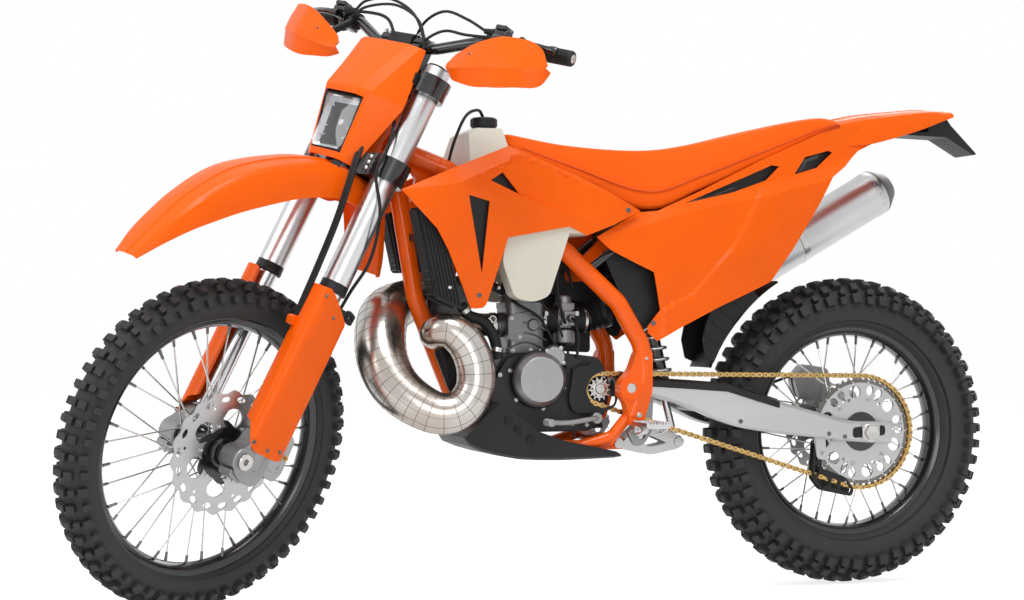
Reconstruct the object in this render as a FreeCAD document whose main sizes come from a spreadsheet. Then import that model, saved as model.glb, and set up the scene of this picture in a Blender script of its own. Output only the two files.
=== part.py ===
"""Enduro dirt bike, modelled in millimetres: +X forward, +Y to the rider's left, +Z up.

Three frames of reference are used.
Ground: X = 0 midway between the axles as drawn, Z = 0 on the ground; the chassis is drawn in it.
Steering: Z along the steering axis, X forward across it, the front axle at Z = 0.
Wheel: centred on the wheel, with the axle along Y.
Each finished piece is then placed from the rider's reference point on the seat, the part's origin,
with the steering turned to the left as it rests.
"""
import FreeCAD
import Part
import math
import os
import Sketcher
from FreeCAD import Placement, Rotation, Vector
from types import SimpleNamespace

SIZES = (
    # wheels
    ("wheelbase", 1487),
    ("front_radius", 350),
    ("front_width", 90),
    ("front_tyre_deep", 88),
    ("front_bead_half", 17),
    ("rear_radius", 350),
    ("rear_width", 128),
    ("rear_tyre_deep", 121),
    ("rear_bead_half", 25.5),
    ("rim_depth", 12),
    ("lug_pitches", 20),
    ("lug_high", 13),
    ("facets", 28),
    ("spokes", 36),
    ("spoke_wide", 3.4),
    ("front_axle_r", 13),
    ("rear_axle_r", 12.5),
    ("hub_end_gap", 4.6),
    ("front_flange_y", 35.5),
    ("front_flange_r", 38),
    ("front_hub_r", 24),
    ("front_disc_r", 130),
    ("front_disc_y", 60),
    ("rear_hub_half", 91.6),
    ("rear_flange_y", 46),
    ("rear_flange_r", 52),
    ("rear_hub_r", 34),
    ("rear_disc_r", 110),
    ("rear_disc_y", 76),
    ("disc_thick", 3.5),
    ("sprocket_y", 78),
    ("sprocket_thick", 6),
    ("chain_pitch", 15.875),
    ("front_teeth", 13),
    ("rear_teeth", 50),
    ("chain_high", 12),
    ("chain_wide", 14),
    ("chain_narrow", 9),
    ("chain_room", 3),
    # steering
    ("rake_angle", 26.1),
    ("clamp_offset", 22),
    ("axle_lead", 33),
    ("steer_angle", 28.8),
    ("fork_half", 108),
    ("outer_tube_r", 29),
    ("inner_tube_r", 24),
    ("outer_tube_foot", 395),
    ("fork_top", 905),
    ("lower_clamp_z", 640),
    ("lower_clamp_high", 50),
    ("upper_clamp_z", 840),
    ("upper_clamp_high", 44),
    ("clamp_boss_r", 41),
    ("stem_r", 16.5),
    ("head_tube_r", 30),
    ("bar_r", 12),
    ("bar_end_y", 405),
    ("bar_end_x", -29.5),
    ("bar_end_z", 1001),
    ("bar_clamp_x", 40),
    ("bar_clamp_z", 942),
    ("grip_r", 16.5),
    ("grip_long", 122),
    ("guard_thick", 3.6),
    # chassis
    ("seat_high", 974),
    ("seat_x", -160),
    ("main_tube_r", 20),
    ("cradle_tube_r", 13),
    ("down_tube_r", 19),
    ("rail_r", 9),
    ("pivot_x", -163),
    ("pivot_z", 456),
    ("pivot_r", 10),
    ("arm_out_y", 122),
    ("arm_thick", 30),
    ("shaft_x", -106),
    ("shaft_z", 454),
    ("case_half", 80),
    ("gearbox_half", 64),
    ("flywheel_r", 62),
    ("clutch_r", 78),
    ("barrel_x", 48),
    ("barrel_z", 532.3),
    ("barrel_high", 108),
    ("head_r", 46),
    ("port_z", 592),
    ("tank_half", 145),
    ("panel_thick", 4),
    ("shroud_half", 192),
    ("pan_half", 105),
    ("arch_gap", 42),
    ("bridge_x", -381.5),
    ("bridge_gap", 12),
    ("silencer_r", 56),
    ("silencer_y", -150),
    ("silencer_long", 400),
    ("spring_r", 31),
    ("link_pin_r", 8),
    ("peg_long", 80),
    # running and seating clearances
    ("run_gap", 0.05),
    ("fit_gap", 0.3),
    ("disc_gap", 3),
)

doc = FreeCAD.newDocument("EnduroBike")
sheet = doc.addObject("Spreadsheet::Sheet", "Sizes")
for row, (alias, value) in enumerate(SIZES, 1):
    sheet.set(f"A{row}", alias)
    sheet.set(f"B{row}", str(value))
    sheet.setAlias(f"B{row}", alias)
doc.recompute()
d = SimpleNamespace(**{alias: float(sheet.get(alias)) for alias, value in SIZES})

# The frames of reference
TILT = Rotation(Vector(0, 1, 0), -d.rake_angle)
FORK_REACH = d.clamp_offset + d.axle_lead
REAR_AXLE = Vector(d.bridge_x - d.bridge_gap - d.rear_radius, 0, d.rear_radius)
FRONT_AXLE = Vector(REAR_AXLE.x + d.wheelbase, 0, d.front_radius)
FRONT_BEAD = d.front_radius - d.front_tyre_deep
REAR_BEAD = d.rear_radius - d.rear_tyre_deep
FRONT_HUB_HALF = d.fork_half - d.inner_tube_r - d.hub_end_gap
STEER_FOOT = FRONT_AXLE - TILT.multVec(Vector(FORK_REACH, 0, 0))
GROUND = Placement(-Vector(d.seat_x, 0, d.seat_high), Rotation())
STRAIGHT = Placement(STEER_FOOT, TILT)
STEERING = GROUND * STRAIGHT * Placement(Vector(), Rotation(Vector(0, 0, 1), d.steer_angle))
FRONT_WHEEL = STEERING * Placement(Vector(FORK_REACH, 0, 0), Rotation())
REAR_WHEEL = GROUND * Placement(REAR_AXLE, Rotation())
FRAME_HALF = d.sprocket_y + d.chain_wide / 2 + d.chain_room + d.main_tube_r
ARCH_R = d.rear_radius + d.arch_gap

FLAT_ENOUGH = 1e-5
CORE_R = 8
HUB_CLEAR = 200
HUB_SIDES = 12
PIPE_SIDES = 12
ARCH_SIDES = 36
SPRING_COILS = 6
LUGS_BY_SECTOR = ((2, 4, 6), (3, 5))
SLIGHT_BEND = math.radians(5)
SHALLOW_BEND = math.radians(14)

nodes = []


def finish(label, item, place):
    """Name a finished piece, set it in its frame of reference and list it for export."""
    item.Label = label
    item.Placement = place * item.Placement
    nodes.append(item)
    return item


def feature(label, shape, place):
    """A finished piece whose shape is worked out from the sheet in this script."""
    item = doc.addObject("Part::Feature", label)
    item.Shape = shape
    return finish(label, item, place)


# Bodies drawn from sketches

def sketch(body, role, corners, name):
    """A closed straight-sided sketch; each corner is a pair of expressions on the sheet."""
    item = body.newObject("Sketcher::SketchObject", name)
    plane = next(origin for origin in body.Origin.OriginFeatures if origin.Role == role)
    item.AttachmentSupport = [(plane, "")]
    item.MapMode = "FlatFace"
    count = len(corners)
    turn = 2 * math.pi / count
    spots = [100 * Vector(math.cos(turn * index), math.sin(turn * index), 0) for index in range(count)]
    for index in range(count):
        item.addGeometry(Part.LineSegment(spots[index], spots[(index + 1) % count]))
    for index in range(count):
        item.addConstraint(Sketcher.Constraint("Coincident", index, 2, (index + 1) % count, 1))
    for index, (across, up) in enumerate(corners):
        spot = spots[index]
        for kind, expression, start in (("DistanceX", across, spot.x), ("DistanceY", up, spot.y)):
            place = item.addConstraint(Sketcher.Constraint(kind, -1, 1, index, 1, start))
            item.setExpression(f"Constraints[{place}]", expression)
    return item


def padded(name, role, layers):
    """A body of outlines pushed out evenly to both sides; layers are (corners, full length)."""
    body = doc.addObject("PartDesign::Body", name)
    for index, (corners, length) in enumerate(layers):
        profile = sketch(body, role, corners, f"{name}Outline{index}")
        pad = body.newObject("PartDesign::Pad", f"{name}Pad{index}")
        pad.Profile = profile
        pad.SideType = "Symmetric"
        pad.setExpression("Length", length)
        doc.recompute()
    return body


# Primitives bound to the sheet

def turn_to(direction):
    """The rotation that takes Z to a direction."""
    return Rotation(Vector(0, 0, 1), Vector(direction))


def cylinder(name, radius, length, foot):
    """A truly round upright bar, for what something turns on; radius and length are expressions."""
    item = doc.addObject("Part::Cylinder", name)
    item.setExpression("Radius", radius)
    item.setExpression("Height", length)
    item.Placement.Base = Vector(foot)
    return item


def round_bar(name, radius, length, foot, direction=(0, 1, 0), sides=12):
    """A faceted round bar that starts at its foot; radius and length are expressions."""
    item = doc.addObject("Part::Prism", name)
    item.Polygon = sides
    item.setExpression("Circumradius", radius)
    item.setExpression("Height", length)
    item.Placement = Placement(Vector(foot), turn_to(direction))
    return item


def box(name, corner, long, wide, high):
    """A Part box; the three sizes are expressions."""
    item = doc.addObject("Part::Box", name)
    item.setExpression("Length", long)
    item.setExpression("Width", wide)
    item.setExpression("Height", high)
    item.Placement.Base = Vector(corner)
    return item


def fused(name, items):
    item = doc.addObject("Part::MultiFuse", name)
    item.Shapes = items
    return item


def cut(name, base, tool):
    item = doc.addObject("Part::Cut", name)
    item.Base = base
    item.Tool = tool
    return item


def mirrored_pair(name, item):
    """The item and its mirror image across the middle plane, as one piece of two solids."""
    mirror = doc.addObject("Part::Mirroring", name + "Mirror")
    mirror.Source = item
    mirror.Normal = Vector(0, 1, 0)
    pair = doc.addObject("Part::Compound", name)
    pair.Links = [item, mirror]
    return pair


# Shapes worked out in the script

def flat(points):
    """A face with straight sides through points in one plane."""
    points = [Vector(point) for point in points]
    return Part.Face(Part.makePolygon(points + points[:1]))


def prism(outline, near, far):
    """An outline of (x, z) corners pushed along Y from near to far."""
    return flat([(x, near, z) for x, z in outline]).extrude(Vector(0, far - near, 0))


def slab(outline, low, high):
    """An outline of (x, y) corners pushed along Z from low to high."""
    return flat([(x, y, low) for x, y in outline]).extrude(Vector(0, 0, high - low))


def cross_prism(outline, back, front):
    """An outline of (y, z) corners pushed along X from back to front."""
    return flat([(back, y, z) for y, z in outline]).extrude(Vector(front - back, 0, 0))


def bar(start, end, wide):
    """A square bar between two points."""
    start, end = Vector(start), Vector(end)
    shape = Part.makeBox(wide, wide, (end - start).Length, Vector(-wide / 2, -wide / 2, 0))
    shape.Placement = Placement(start, turn_to(end - start))
    return shape


def around(centre, along, radius, sides):
    """The corners of a section square to a line, with no twist from one section to the next."""
    along = Vector(along).normalize()
    across = along.cross(Vector(0.3, 0.2, 1)).normalize()
    up = across.cross(along)
    turn = 2 * math.pi / sides
    return [centre + across * (radius * math.cos(turn * index)) + up * (radius * math.sin(turn * index))
            for index in range(sides)]


def skin(sections):
    """A solid with flat sides through closed sections, each a list of as many points."""
    sections = [[Vector(point) for point in section] for section in sections]
    faces = [flat(sections[0]), flat(sections[-1])]
    for near, far in zip(sections, sections[1:]):
        count = len(near)
        for index in range(count):
            after = (index + 1) % count
            normal = (near[after] - near[index]).cross(far[index] - near[index])
            bow = (far[after] - near[index]).dot(normal) / normal.Length
            if abs(bow) < FLAT_ENOUGH:
                faces.append(flat([near[index], near[after], far[after], far[index]]))
            else:
                faces.append(flat([near[index], near[after], far[index]]))
                faces.append(flat([far[index], near[after], far[after]]))
    return solid_of(faces)


def stack(foot, along, levels, sides):
    """A faceted round piece on an axis; levels are (distance from the foot, radius)."""
    along = Vector(along).normalize()
    return skin([around(Vector(foot) + along * rise, along, radius, sides) for rise, radius in levels])


def rod(start, end, radius, sides=12):
    """A faceted round bar between two points."""
    start, end = Vector(start), Vector(end)
    return skin([around(end_point, end - start, radius, sides) for end_point in (start, end)])


def pin(start, end, radius):
    """A truly round bar between two points, for the axes that something turns on."""
    start, end = Vector(start), Vector(end)
    return Part.makeCylinder(radius, (end - start).Length, start, end - start)


def tube(points, radius, bend, sides=10):
    """A faceted bar along straight runs, with its corners rounded to one bend radius and mitred."""
    points = [Vector(point) for point in points]
    line = [points[0]]
    for before, corner, after in zip(points, points[1:], points[2:]):
        toward = (before - corner).normalize()
        away = (after - corner).normalize()
        half = (math.pi - toward.getAngle(away)) / 2
        reach = bend * math.tan(half)
        if half < SLIGHT_BEND:
            line.append(corner)
            continue
        line.append(corner + toward * reach)
        if half > SHALLOW_BEND:
            middle = (toward + away).normalize()
            line.append(corner + middle * (bend / math.cos(half) - bend))
        line.append(corner + away * reach)
    line.append(points[-1])
    runs = [(far - near).normalize() for near, far in zip(line, line[1:])]
    sections = [around(line[0], runs[0], radius, sides)]
    for index, run in enumerate(runs):
        mitre = run + runs[min(index + 1, len(runs) - 1)]
        sections.append([corner + run * ((line[index + 1] - corner).dot(mitre) / run.dot(mitre))
                         for corner in sections[-1]])
    return skin(sections)


def both_sides(shape):
    """A shape and its mirror image across the middle plane."""
    return [shape, shape.mirror(Vector(), Vector(0, 1, 0))]


def joined(shapes):
    first, rest = shapes[0], shapes[1:]
    return first.fuse(rest).removeSplitter()


def largest(shape):
    return max(shape.Solids, key=lambda solid: solid.Volume)


def mirrored(half):
    """A profile of (radius, y) corners closed by its mirror image."""
    return half + [(radius, -y) for radius, y in reversed(half)]


def solid_of(faces):
    solid = Part.makeSolid(Part.makeShell(faces))
    if solid.Volume < 0:
        solid.reverse()
    return solid


def ring(profile, count):
    """A faceted ring about Y with a corner at the bottom; the profile is (radius, y) corners."""
    step = 2 * math.pi / count
    faces = []

    def corner(radius, y, index):
        angle = step * index - math.pi / 2
        return Vector(radius * math.cos(angle), y, radius * math.sin(angle))

    for index in range(count):
        for (near_r, near_y), (far_r, far_y) in zip(profile, profile[1:] + profile[:1]):
            faces.append(flat([corner(near_r, near_y, index), corner(far_r, far_y, index),
                               corner(far_r, far_y, index + 1), corner(near_r, near_y, index + 1)]))
    return solid_of(faces)


def star(tip, root, count, near, far):
    """A toothed plate about Y: tips and roots in turn."""
    step = math.pi / count
    outline = []
    for index in range(2 * count):
        radius = tip if index % 2 == 0 else root
        outline.append((radius * math.sin(step * index), radius * math.cos(step * index)))
    return prism(outline, near, far)


def windows(inner, outer, share, count, near, far):
    """Openings set evenly about Y between two radii, each taking a share of its place."""
    step = 2 * math.pi / count
    shapes = []
    for index in range(count):
        low, high = step * (index - share / 2), step * (index + share / 2)
        outline = [(radius * math.sin(angle), radius * math.cos(angle))
                   for radius, angle in ((inner, low), (outer, low), (outer, high), (inner, high))]
        shapes.append(prism(outline, near, far))
    return shapes


def disc_about_axle(radius, near, far, sides=12):
    """A faceted round plate about Y from near to far."""
    return rod((0, near, 0), (0, far, 0), radius, sides)


def room_about(radius, sides=12):
    """The corner radius at which a faceted bore clears a round piece that turns in it."""
    return radius / math.cos(math.pi / sides)


# Wheels

def lug(near, far, high):
    """The two top corners of a lug that stands on one side of a profile and narrows upward."""
    (near_r, near_y), (far_r, far_y) = near, far
    long = math.hypot(far_r - near_r, far_y - near_y)
    out_r, out_y = high * (near_y - far_y) / long, high * (far_r - near_r) / long
    return [(near_r + out_r + share * (far_r - near_r), near_y + out_y + share * (far_y - near_y))
            for share in (0.1, 0.9)]


def tyre(radius, width, bead, bead_half):
    """A carcass with lugs in a checker: shoulders and middle on one sector, the rows between on the next."""
    depth, half, high = radius - bead, width / 2, d.lug_high
    foot = room_about(bead + d.fit_gap, 2 * d.lug_pitches)
    profile = mirrored([(foot, bead_half), (bead + 0.38 * depth, 0.93 * half), (bead + 0.6 * depth, half - 0.62 * high),
                        (radius - high - 0.1 * depth, 0.6 * half), (radius - high, 0.22 * half)])
    step = math.pi / d.lug_pitches
    faces = []

    def spot(corner, sector):
        angle = step * sector - math.pi / 2
        return Vector(corner[0] * math.cos(angle), corner[1], corner[0] * math.sin(angle))

    for sector in range(2 * int(d.lug_pitches)):
        lugs = LUGS_BY_SECTOR[sector % 2]
        for side, (near, far) in enumerate(zip(profile, profile[1:] + profile[:1])):
            path = [near] + (lug(near, far, high) if side in lugs else []) + [far]
            for start, stop in zip(path, path[1:]):
                faces.append(flat([spot(start, sector), spot(stop, sector), spot(stop, sector + 1),
                                   spot(start, sector + 1)]))
            if side in lugs:
                faces += [flat([spot(corner, sector + end) for corner in path]) for end in (0, 1)]
    return solid_of(faces)


def rim(bead, bead_half):
    outline = [(bead - d.rim_depth, bead_half - 4), (bead - 5, bead_half + 4), (bead, bead_half + 4)]
    return ring(mirrored(outline), int(d.facets))


def spoke_reach(bead):
    """The radius at which spokes end against the flats of the rim's inner face."""
    return (bead - d.rim_depth) * math.cos(math.pi / d.facets) - 2 * d.fit_gap


def spokes(hole_r, flange_y, rim_r):
    """Crossed spokes that leave the hub's flanges almost along its rim."""
    step = 2 * math.pi / d.spokes
    shapes = []
    for index in range(int(d.spokes)):
        side = 1 if index % 2 == 0 else -1
        lean = 1 if (index // 2) % 2 == 0 else -1
        at_rim = step * index - math.pi / 2
        at_hub = at_rim - lean * math.radians(60)
        apart = 0.8 * d.spoke_wide * lean
        hub_end = Vector(hole_r * math.cos(at_hub), side * flange_y + apart, hole_r * math.sin(at_hub))
        rim_end = Vector(rim_r * math.cos(at_rim), side * 6 + apart, rim_r * math.sin(at_rim))
        along = rim_end - hub_end
        shapes.append(stack(hub_end, along, [(0, d.spoke_wide / 2), (along.Length, d.spoke_wide / 2)], 3))
    return shapes


def hub_with_spokes(label, profile, bore, hole_r, flange_y, rim_r, place):
    """The hub's faceted body with its spokes, bored for the axle."""
    body = ring(profile, HUB_SIDES).fuse(spokes(hole_r, flange_y, rim_r))
    feature(label, body.cut(pin((0, -HUB_CLEAR, 0), (0, HUB_CLEAR, 0), bore)), place)


def brake_disc(radius, inner, near, far):
    plate = star(radius, radius - 6, 18, near, far)
    holes = windows(0.42 * radius, 0.72 * radius, 0.62, 6, near, far)
    return plate.cut([disc_about_axle(inner, near, far)] + holes)


def front_wheel():
    feature("front_tyre", tyre(d.front_radius, d.front_width, FRONT_BEAD, d.front_bead_half), FRONT_WHEEL)
    feature("front_rim", rim(FRONT_BEAD, d.front_bead_half), FRONT_WHEEL)
    inside, outside, core = d.front_flange_y - 3, d.front_flange_y + 3, d.front_hub_r
    spacer, end, flange = d.front_axle_r + 7, FRONT_HUB_HALF, d.front_flange_r
    hub = [(CORE_R, -end), (spacer, -end), (spacer, -outside - 8), (flange, -outside), (flange, -inside),
           (core, 6 - inside), (core, inside - 6), (flange, inside), (flange, outside),
           (core + 6, d.front_disc_y), (spacer, d.front_disc_y), (spacer, end), (CORE_R, end)]
    hub_with_spokes("front_hub", hub, d.front_axle_r + d.run_gap, flange - 4, d.front_flange_y,
                    spoke_reach(FRONT_BEAD), FRONT_WHEEL)
    disc = brake_disc(d.front_disc_r, room_about(d.front_axle_r + 7.4), d.front_disc_y, d.front_disc_y + d.disc_thick)
    feature("front_disc", disc, FRONT_WHEEL)


def rear_wheel():
    feature("rear_tyre", tyre(d.rear_radius, d.rear_width, REAR_BEAD, d.rear_bead_half), REAR_WHEEL)
    feature("rear_rim", rim(REAR_BEAD, d.rear_bead_half), REAR_WHEEL)
    inside, outside, core = d.rear_flange_y - 3.5, d.rear_flange_y + 3.5, d.rear_hub_r
    spacer, end, flange = d.rear_axle_r + 7, d.rear_hub_half, d.rear_flange_r
    cog_face = d.sprocket_y - d.sprocket_thick / 2
    hub = [(CORE_R, -end), (spacer, -end), (spacer, -d.rear_disc_y), (core, -d.rear_disc_y), (core, -outside),
           (flange, -outside), (flange, -inside), (core, 6 - inside), (core, inside - 6), (flange, inside),
           (flange, outside), (flange + 14, cog_face - 10), (flange + 14, cog_face), (spacer, cog_face),
           (spacer, end), (CORE_R, end)]
    hub_with_spokes("rear_hub", hub, d.rear_axle_r + d.run_gap, flange - 4, d.rear_flange_y,
                    spoke_reach(REAR_BEAD), REAR_WHEEL)
    disc = brake_disc(d.rear_disc_r, room_about(d.rear_axle_r + 7.4), -d.rear_disc_y - d.disc_thick, -d.rear_disc_y)
    feature("rear_disc", disc, REAR_WHEEL)
    near, far = d.sprocket_y - d.sprocket_thick / 2, d.sprocket_y + d.sprocket_thick / 2
    tip = pitch_radius(d.rear_teeth) - d.chain_high / 2 - 1
    cog = star(tip, tip - 5, int(d.rear_teeth), near, far)
    cog = cog.cut([disc_about_axle(room_about(d.rear_axle_r + 7.4), near, far)]
                  + windows(d.rear_flange_r + 20, tip - 14, 0.72, 6, near, far))
    feature("rear_sprocket", cog, REAR_WHEEL)


# Steering: forks, clamps, axle

def fork():
    high = "Sizes.fork_top - Sizes.outer_tube_foot"
    tube_foot = (d.clamp_offset, d.fork_half, d.outer_tube_foot)
    outer = round_bar("OuterTube", "Sizes.outer_tube_r", high, tube_foot, (0, 0, 1))
    cap = round_bar("TubeCap", "Sizes.outer_tube_r - 5", "7", (d.clamp_offset, d.fork_half, d.fork_top), (0, 0, 1))
    finish("fork_tubes", mirrored_pair("ForkTubes", fused("ForkTube", [outer, cap])), STEERING)

    x, y = d.clamp_offset, d.fork_half
    leg = rod((x, y, 60), (x, y, d.outer_tube_foot), d.inner_tube_r)
    side = [(x - 28, 75), (x - 28, -20), (x - 14, -42), (x + 18, -42), (FORK_REACH + 15, -30),
            (FORK_REACH + 28, -5), (FORK_REACH + 25, 18), (FORK_REACH + 7, 34), (x + 28, 75)]
    lug = prism(side, y - d.inner_tube_r, y + d.inner_tube_r)
    inner_face = FRONT_HUB_HALF + 0.4
    boss = rod((FORK_REACH, inner_face, 0), (FORK_REACH, y, 0), d.front_axle_r + 10)
    bore = pin((FORK_REACH, 0, 0), (FORK_REACH, 2 * y, 0), d.front_axle_r + d.run_gap)
    one = joined([leg, lug, boss]).cut(bore)
    feature("fork_legs", Part.makeCompound(both_sides(one)), STEERING)

    end = d.fork_half + d.inner_tube_r + d.fit_gap
    feature("front_axle", headed_axle(FORK_REACH, d.front_axle_r, end, 5, 7), STEERING)


def headed_axle(x, radius, end, lip, head):
    """A round axle along Y with a faceted head on each end face; the heads stand proud by a lip."""
    heads = both_sides(rod((x, end, 0), (x, end + head, 0), radius + lip))
    return heads[0].fuse([heads[1], pin((x, -end - head / 2, 0), (x, end + head / 2, 0), radius)])


def clamps():
    """The lower clamp carries the stem; the upper one carries the handlebar's risers."""
    def clamp(name, height, thick):
        bosses = [round_bar(f"{name}Boss{side}", "Sizes.clamp_boss_r", thick,
                           (d.clamp_offset, side * d.fork_half, height), (0, 0, 1)) for side in (-1, 1)]
        for boss, side in zip(bosses, ("Right", "Left")):
            boss.Label = f"{name}Boss{side}"
        bridge = box(f"{name}Bridge", (-14, -d.fork_half, height), "60", "2 * Sizes.fork_half", thick)
        bosses.append(round_bar(f"{name}StemBoss", "Sizes.stem_r + 15", thick, (0, 0, height), (0, 0, 1)))
        holes = [round_bar(f"{name}Hole{side}", "Sizes.outer_tube_r + Sizes.run_gap", thick,
                          (d.clamp_offset, side * d.fork_half, height), (0, 0, 1)) for side in (-1, 1)]
        return bosses + [bridge], holes

    solids, holes = clamp("LowerClamp", d.lower_clamp_z, "Sizes.lower_clamp_high")
    stem = cylinder("Stem", "Sizes.stem_r", "Sizes.upper_clamp_z + Sizes.upper_clamp_high - Sizes.lower_clamp_z",
                    (0, 0, d.lower_clamp_z))
    lower = cut("LowerClamp", fused("LowerClampSolid", solids + [stem]), fused("LowerClampHoles", holes))
    finish("lower_clamp", lower, STEERING)

    solids, holes = clamp("UpperClamp", d.upper_clamp_z, "Sizes.upper_clamp_high")
    top = d.upper_clamp_z + d.upper_clamp_high
    for side in (-1, 1):
        solids.append(box(f"Riser{side}", (d.bar_clamp_x - 19, side * 52 - 14, top),
                          "38", "28", "Sizes.bar_clamp_z - Sizes.upper_clamp_z - Sizes.upper_clamp_high + 19"))
    holes.append(cylinder("StemHole", "Sizes.stem_r + Sizes.run_gap", "Sizes.upper_clamp_high",
                          (0, 0, d.upper_clamp_z)))
    holes.append(round_bar("BarHole", "(Sizes.bar_r + Sizes.run_gap) / cos(15 deg)", "150",
                          (d.bar_clamp_x, -75, d.bar_clamp_z)))
    upper = cut("UpperClamp", fused("UpperClampSolid", solids), fused("UpperClampHoles", holes))
    finish("upper_clamp", upper, STEERING)


def bar_points():
    """The handlebar's line from its middle to its left end."""
    x, z = d.bar_clamp_x, d.bar_clamp_z
    return [Vector(x, 0, z), Vector(x, 90, z), Vector(x - 18, 195, z + 43),
            Vector(d.bar_end_x, d.bar_end_y, d.bar_end_z)]


def along_grip(y):
    """A point on the handlebar's outer run at a given distance from the middle."""
    inner, outer = bar_points()[2:]
    return inner + (outer - inner) * ((y - inner.y) / (outer.y - inner.y))


def bar_bore(margin):
    """Room for the handlebar's left outer run."""
    inner, outer = bar_points()[2:]
    along = (outer - inner).normalize()
    return rod(inner - along * 10, outer + along * 40, room_about(d.bar_r + margin))


def handlebar():
    half = bar_points()
    path = [Vector(point.x, -point.y, point.z) for point in reversed(half[1:])] + half[1:]
    feature("handlebar", tube(path, d.bar_r, 70), STEERING)

    inner = along_grip(d.bar_end_y - d.grip_long)
    outer = along_grip(d.bar_end_y + 4)
    along = (outer - inner).normalize()
    length = (outer - inner).Length
    grip = stack(inner, along, [(0, d.grip_r + 9), (6, d.grip_r + 9), (6, d.grip_r), (length, d.grip_r)], 10)
    grip = grip.cut(rod(inner - along * 5, along_grip(d.bar_end_y + d.fit_gap), room_about(d.bar_r + d.run_gap)))
    feature("grips", Part.makeCompound(both_sides(grip)), STEERING)

    left = along_grip(d.bar_end_y - d.grip_long - 22)
    perch = stack(left, along, [(-13, d.bar_r + 8), (13, d.bar_r + 8)], 8)
    arm = bar(left + Vector(4, 0, 0), left + Vector(44, 6, -4), 16)
    lever = tube([left + Vector(42, -8, -4), left + Vector(40, 56, -2), left + Vector(8, 140, 8)], 5, 60, 6)
    cylinder_body = stack(left + Vector(30, -20, 12), (0, 1, 0), [(0, 11), (34, 11)], 8)
    control = joined([perch, arm, lever, cylinder_body]).cut(bar_bore(d.run_gap))
    feature("controls", Part.makeCompound(both_sides(control)), STEERING)


def handguards():
    plan = [(68, 180), (82, 240), (84, 310), (66, 375), (26, 420)]
    inner = [(64, 181), (78, 242), (80, 308), (62, 372), (23, 417)]
    outline = [(182, 893), (200, 932), (300, 976), (385, 985), (416, 950), (402, 900), (300, 868), (215, 874)]
    blade = slab(plan + inner[::-1], 850, 1000).common(cross_prism(outline, 0, 100))
    foot = along_grip(214)
    along = (bar_points()[3] - bar_points()[2]).normalize()
    clip = stack(foot, along, [(-8, d.bar_r + 6), (8, d.bar_r + 6)], 8)
    strut = bar(foot, Vector(76, 232, 915), 11)
    guard = joined([blade, clip, strut]).cut(bar_bore(d.run_gap))
    feature("handguards", Part.makeCompound(both_sides(guard)), STEERING)


def fork_guards():
    inside = d.fork_half + d.inner_tube_r + d.fit_gap
    outside = inside + d.guard_thick
    front = d.clamp_offset + 46
    side = prism([(-30, 26), (front, 28), (front, 388), (front - 26, 390), (-26, 343)], inside, outside)
    face = prism([(front - d.guard_thick, 84), (front, 84), (front, 388), (front - d.guard_thick, 388)],
                 d.fork_half - d.inner_tube_r, outside)
    feature("fork_guards", Part.makeCompound(both_sides(joined([side, face]))), STEERING)


def headlight():
    """The mask is a shell over the clamps' front, with the lamp set in its opening."""
    def sections(inset, forward):
        levels = ((925, 68, 102, 80, 96, 93, 70), (790, 68, 117, 129, 72, 148, 50), (640, 80, 66, 104, 58, 116, 40))
        shapes = []
        for z, back, back_w, knee, knee_w, front, front_w in levels:
            half = [(back, back_w - inset), (knee + forward, knee_w - inset), (front + forward, front_w - inset)]
            shapes.append([(x, y, z) for x, y in half] + [(x, -y, z) for x, y in reversed(half)])
        return skin(shapes)

    outer = sections(0, 0)
    opening = [(-57, 776), (-42, 662), (42, 662), (57, 776)]
    mask = outer.cut(sections(d.guard_thick, -d.guard_thick - 1)).cut(cross_prism(opening, 60, 200))
    tab = Part.makeBox(14, 9, 24, Vector(58, 100, 850))
    bosses = both_sides(rod((d.clamp_offset, d.fork_half, 820), (d.clamp_offset, d.fork_half, 900),
                            room_about(d.clamp_boss_r)))
    feature("headlight_mask", joined([mask] + both_sides(tab)).cut(bosses), STEERING)
    lens = [(-56, 775), (-41.4, 663), (41.4, 663), (56, 775)]
    lamp = cross_prism([(y, z) for y, z in lens], 84, 200).common(sections(0, 3))
    feature("headlight", lamp, STEERING)


def arch(centre, along, half, drop, thick):
    """A fender's section across a point of its crest: a flat crown and two steep flanks."""
    centre, along = Vector(centre), Vector(along).normalize()
    normal = along.cross(Vector(0, 1, 0)).normalize()
    if normal.z < 0:
        normal = -normal
    outer = [(-half, -drop), (-0.7 * half, -0.1 * drop), (0, 0), (0.7 * half, -0.1 * drop), (half, -drop)]
    inner = [(half - thick, -drop), (0.7 * half - thick, -0.1 * drop - thick), (0, -thick),
             (-0.7 * half + thick, -0.1 * drop - thick), (-half + thick, -drop)]
    return [centre + Vector(0, y, 0) + normal * rise for y, rise in outer + inner]


def fender(crest):
    """Sections along a crest; each entry is (x, z, half width, drop)."""
    points = [Vector(x, 0, z) for x, z, half, drop in crest]
    sections = []
    for index, (x, z, half, drop) in enumerate(crest):
        along = points[min(index + 1, len(points) - 1)] - points[max(index - 1, 0)]
        sections.append(arch(points[index], along, half, drop, d.panel_thick))
    return skin(sections)


def front_fender():
    top = d.lower_clamp_z - d.fit_gap
    crest = [(446, 262, 34, 8), (424, 328, 52, 24), (384, 420, 62, 55), (314, 514, 72, 74), (201, 593, 74, 72),
             (98, top - 3, 73, 68), (66, top, 72, 66), (-10, top, 66, 58), (-44, top - 6, 58, 40)]
    feature("front_fender", fender(crest), STEERING)


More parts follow.
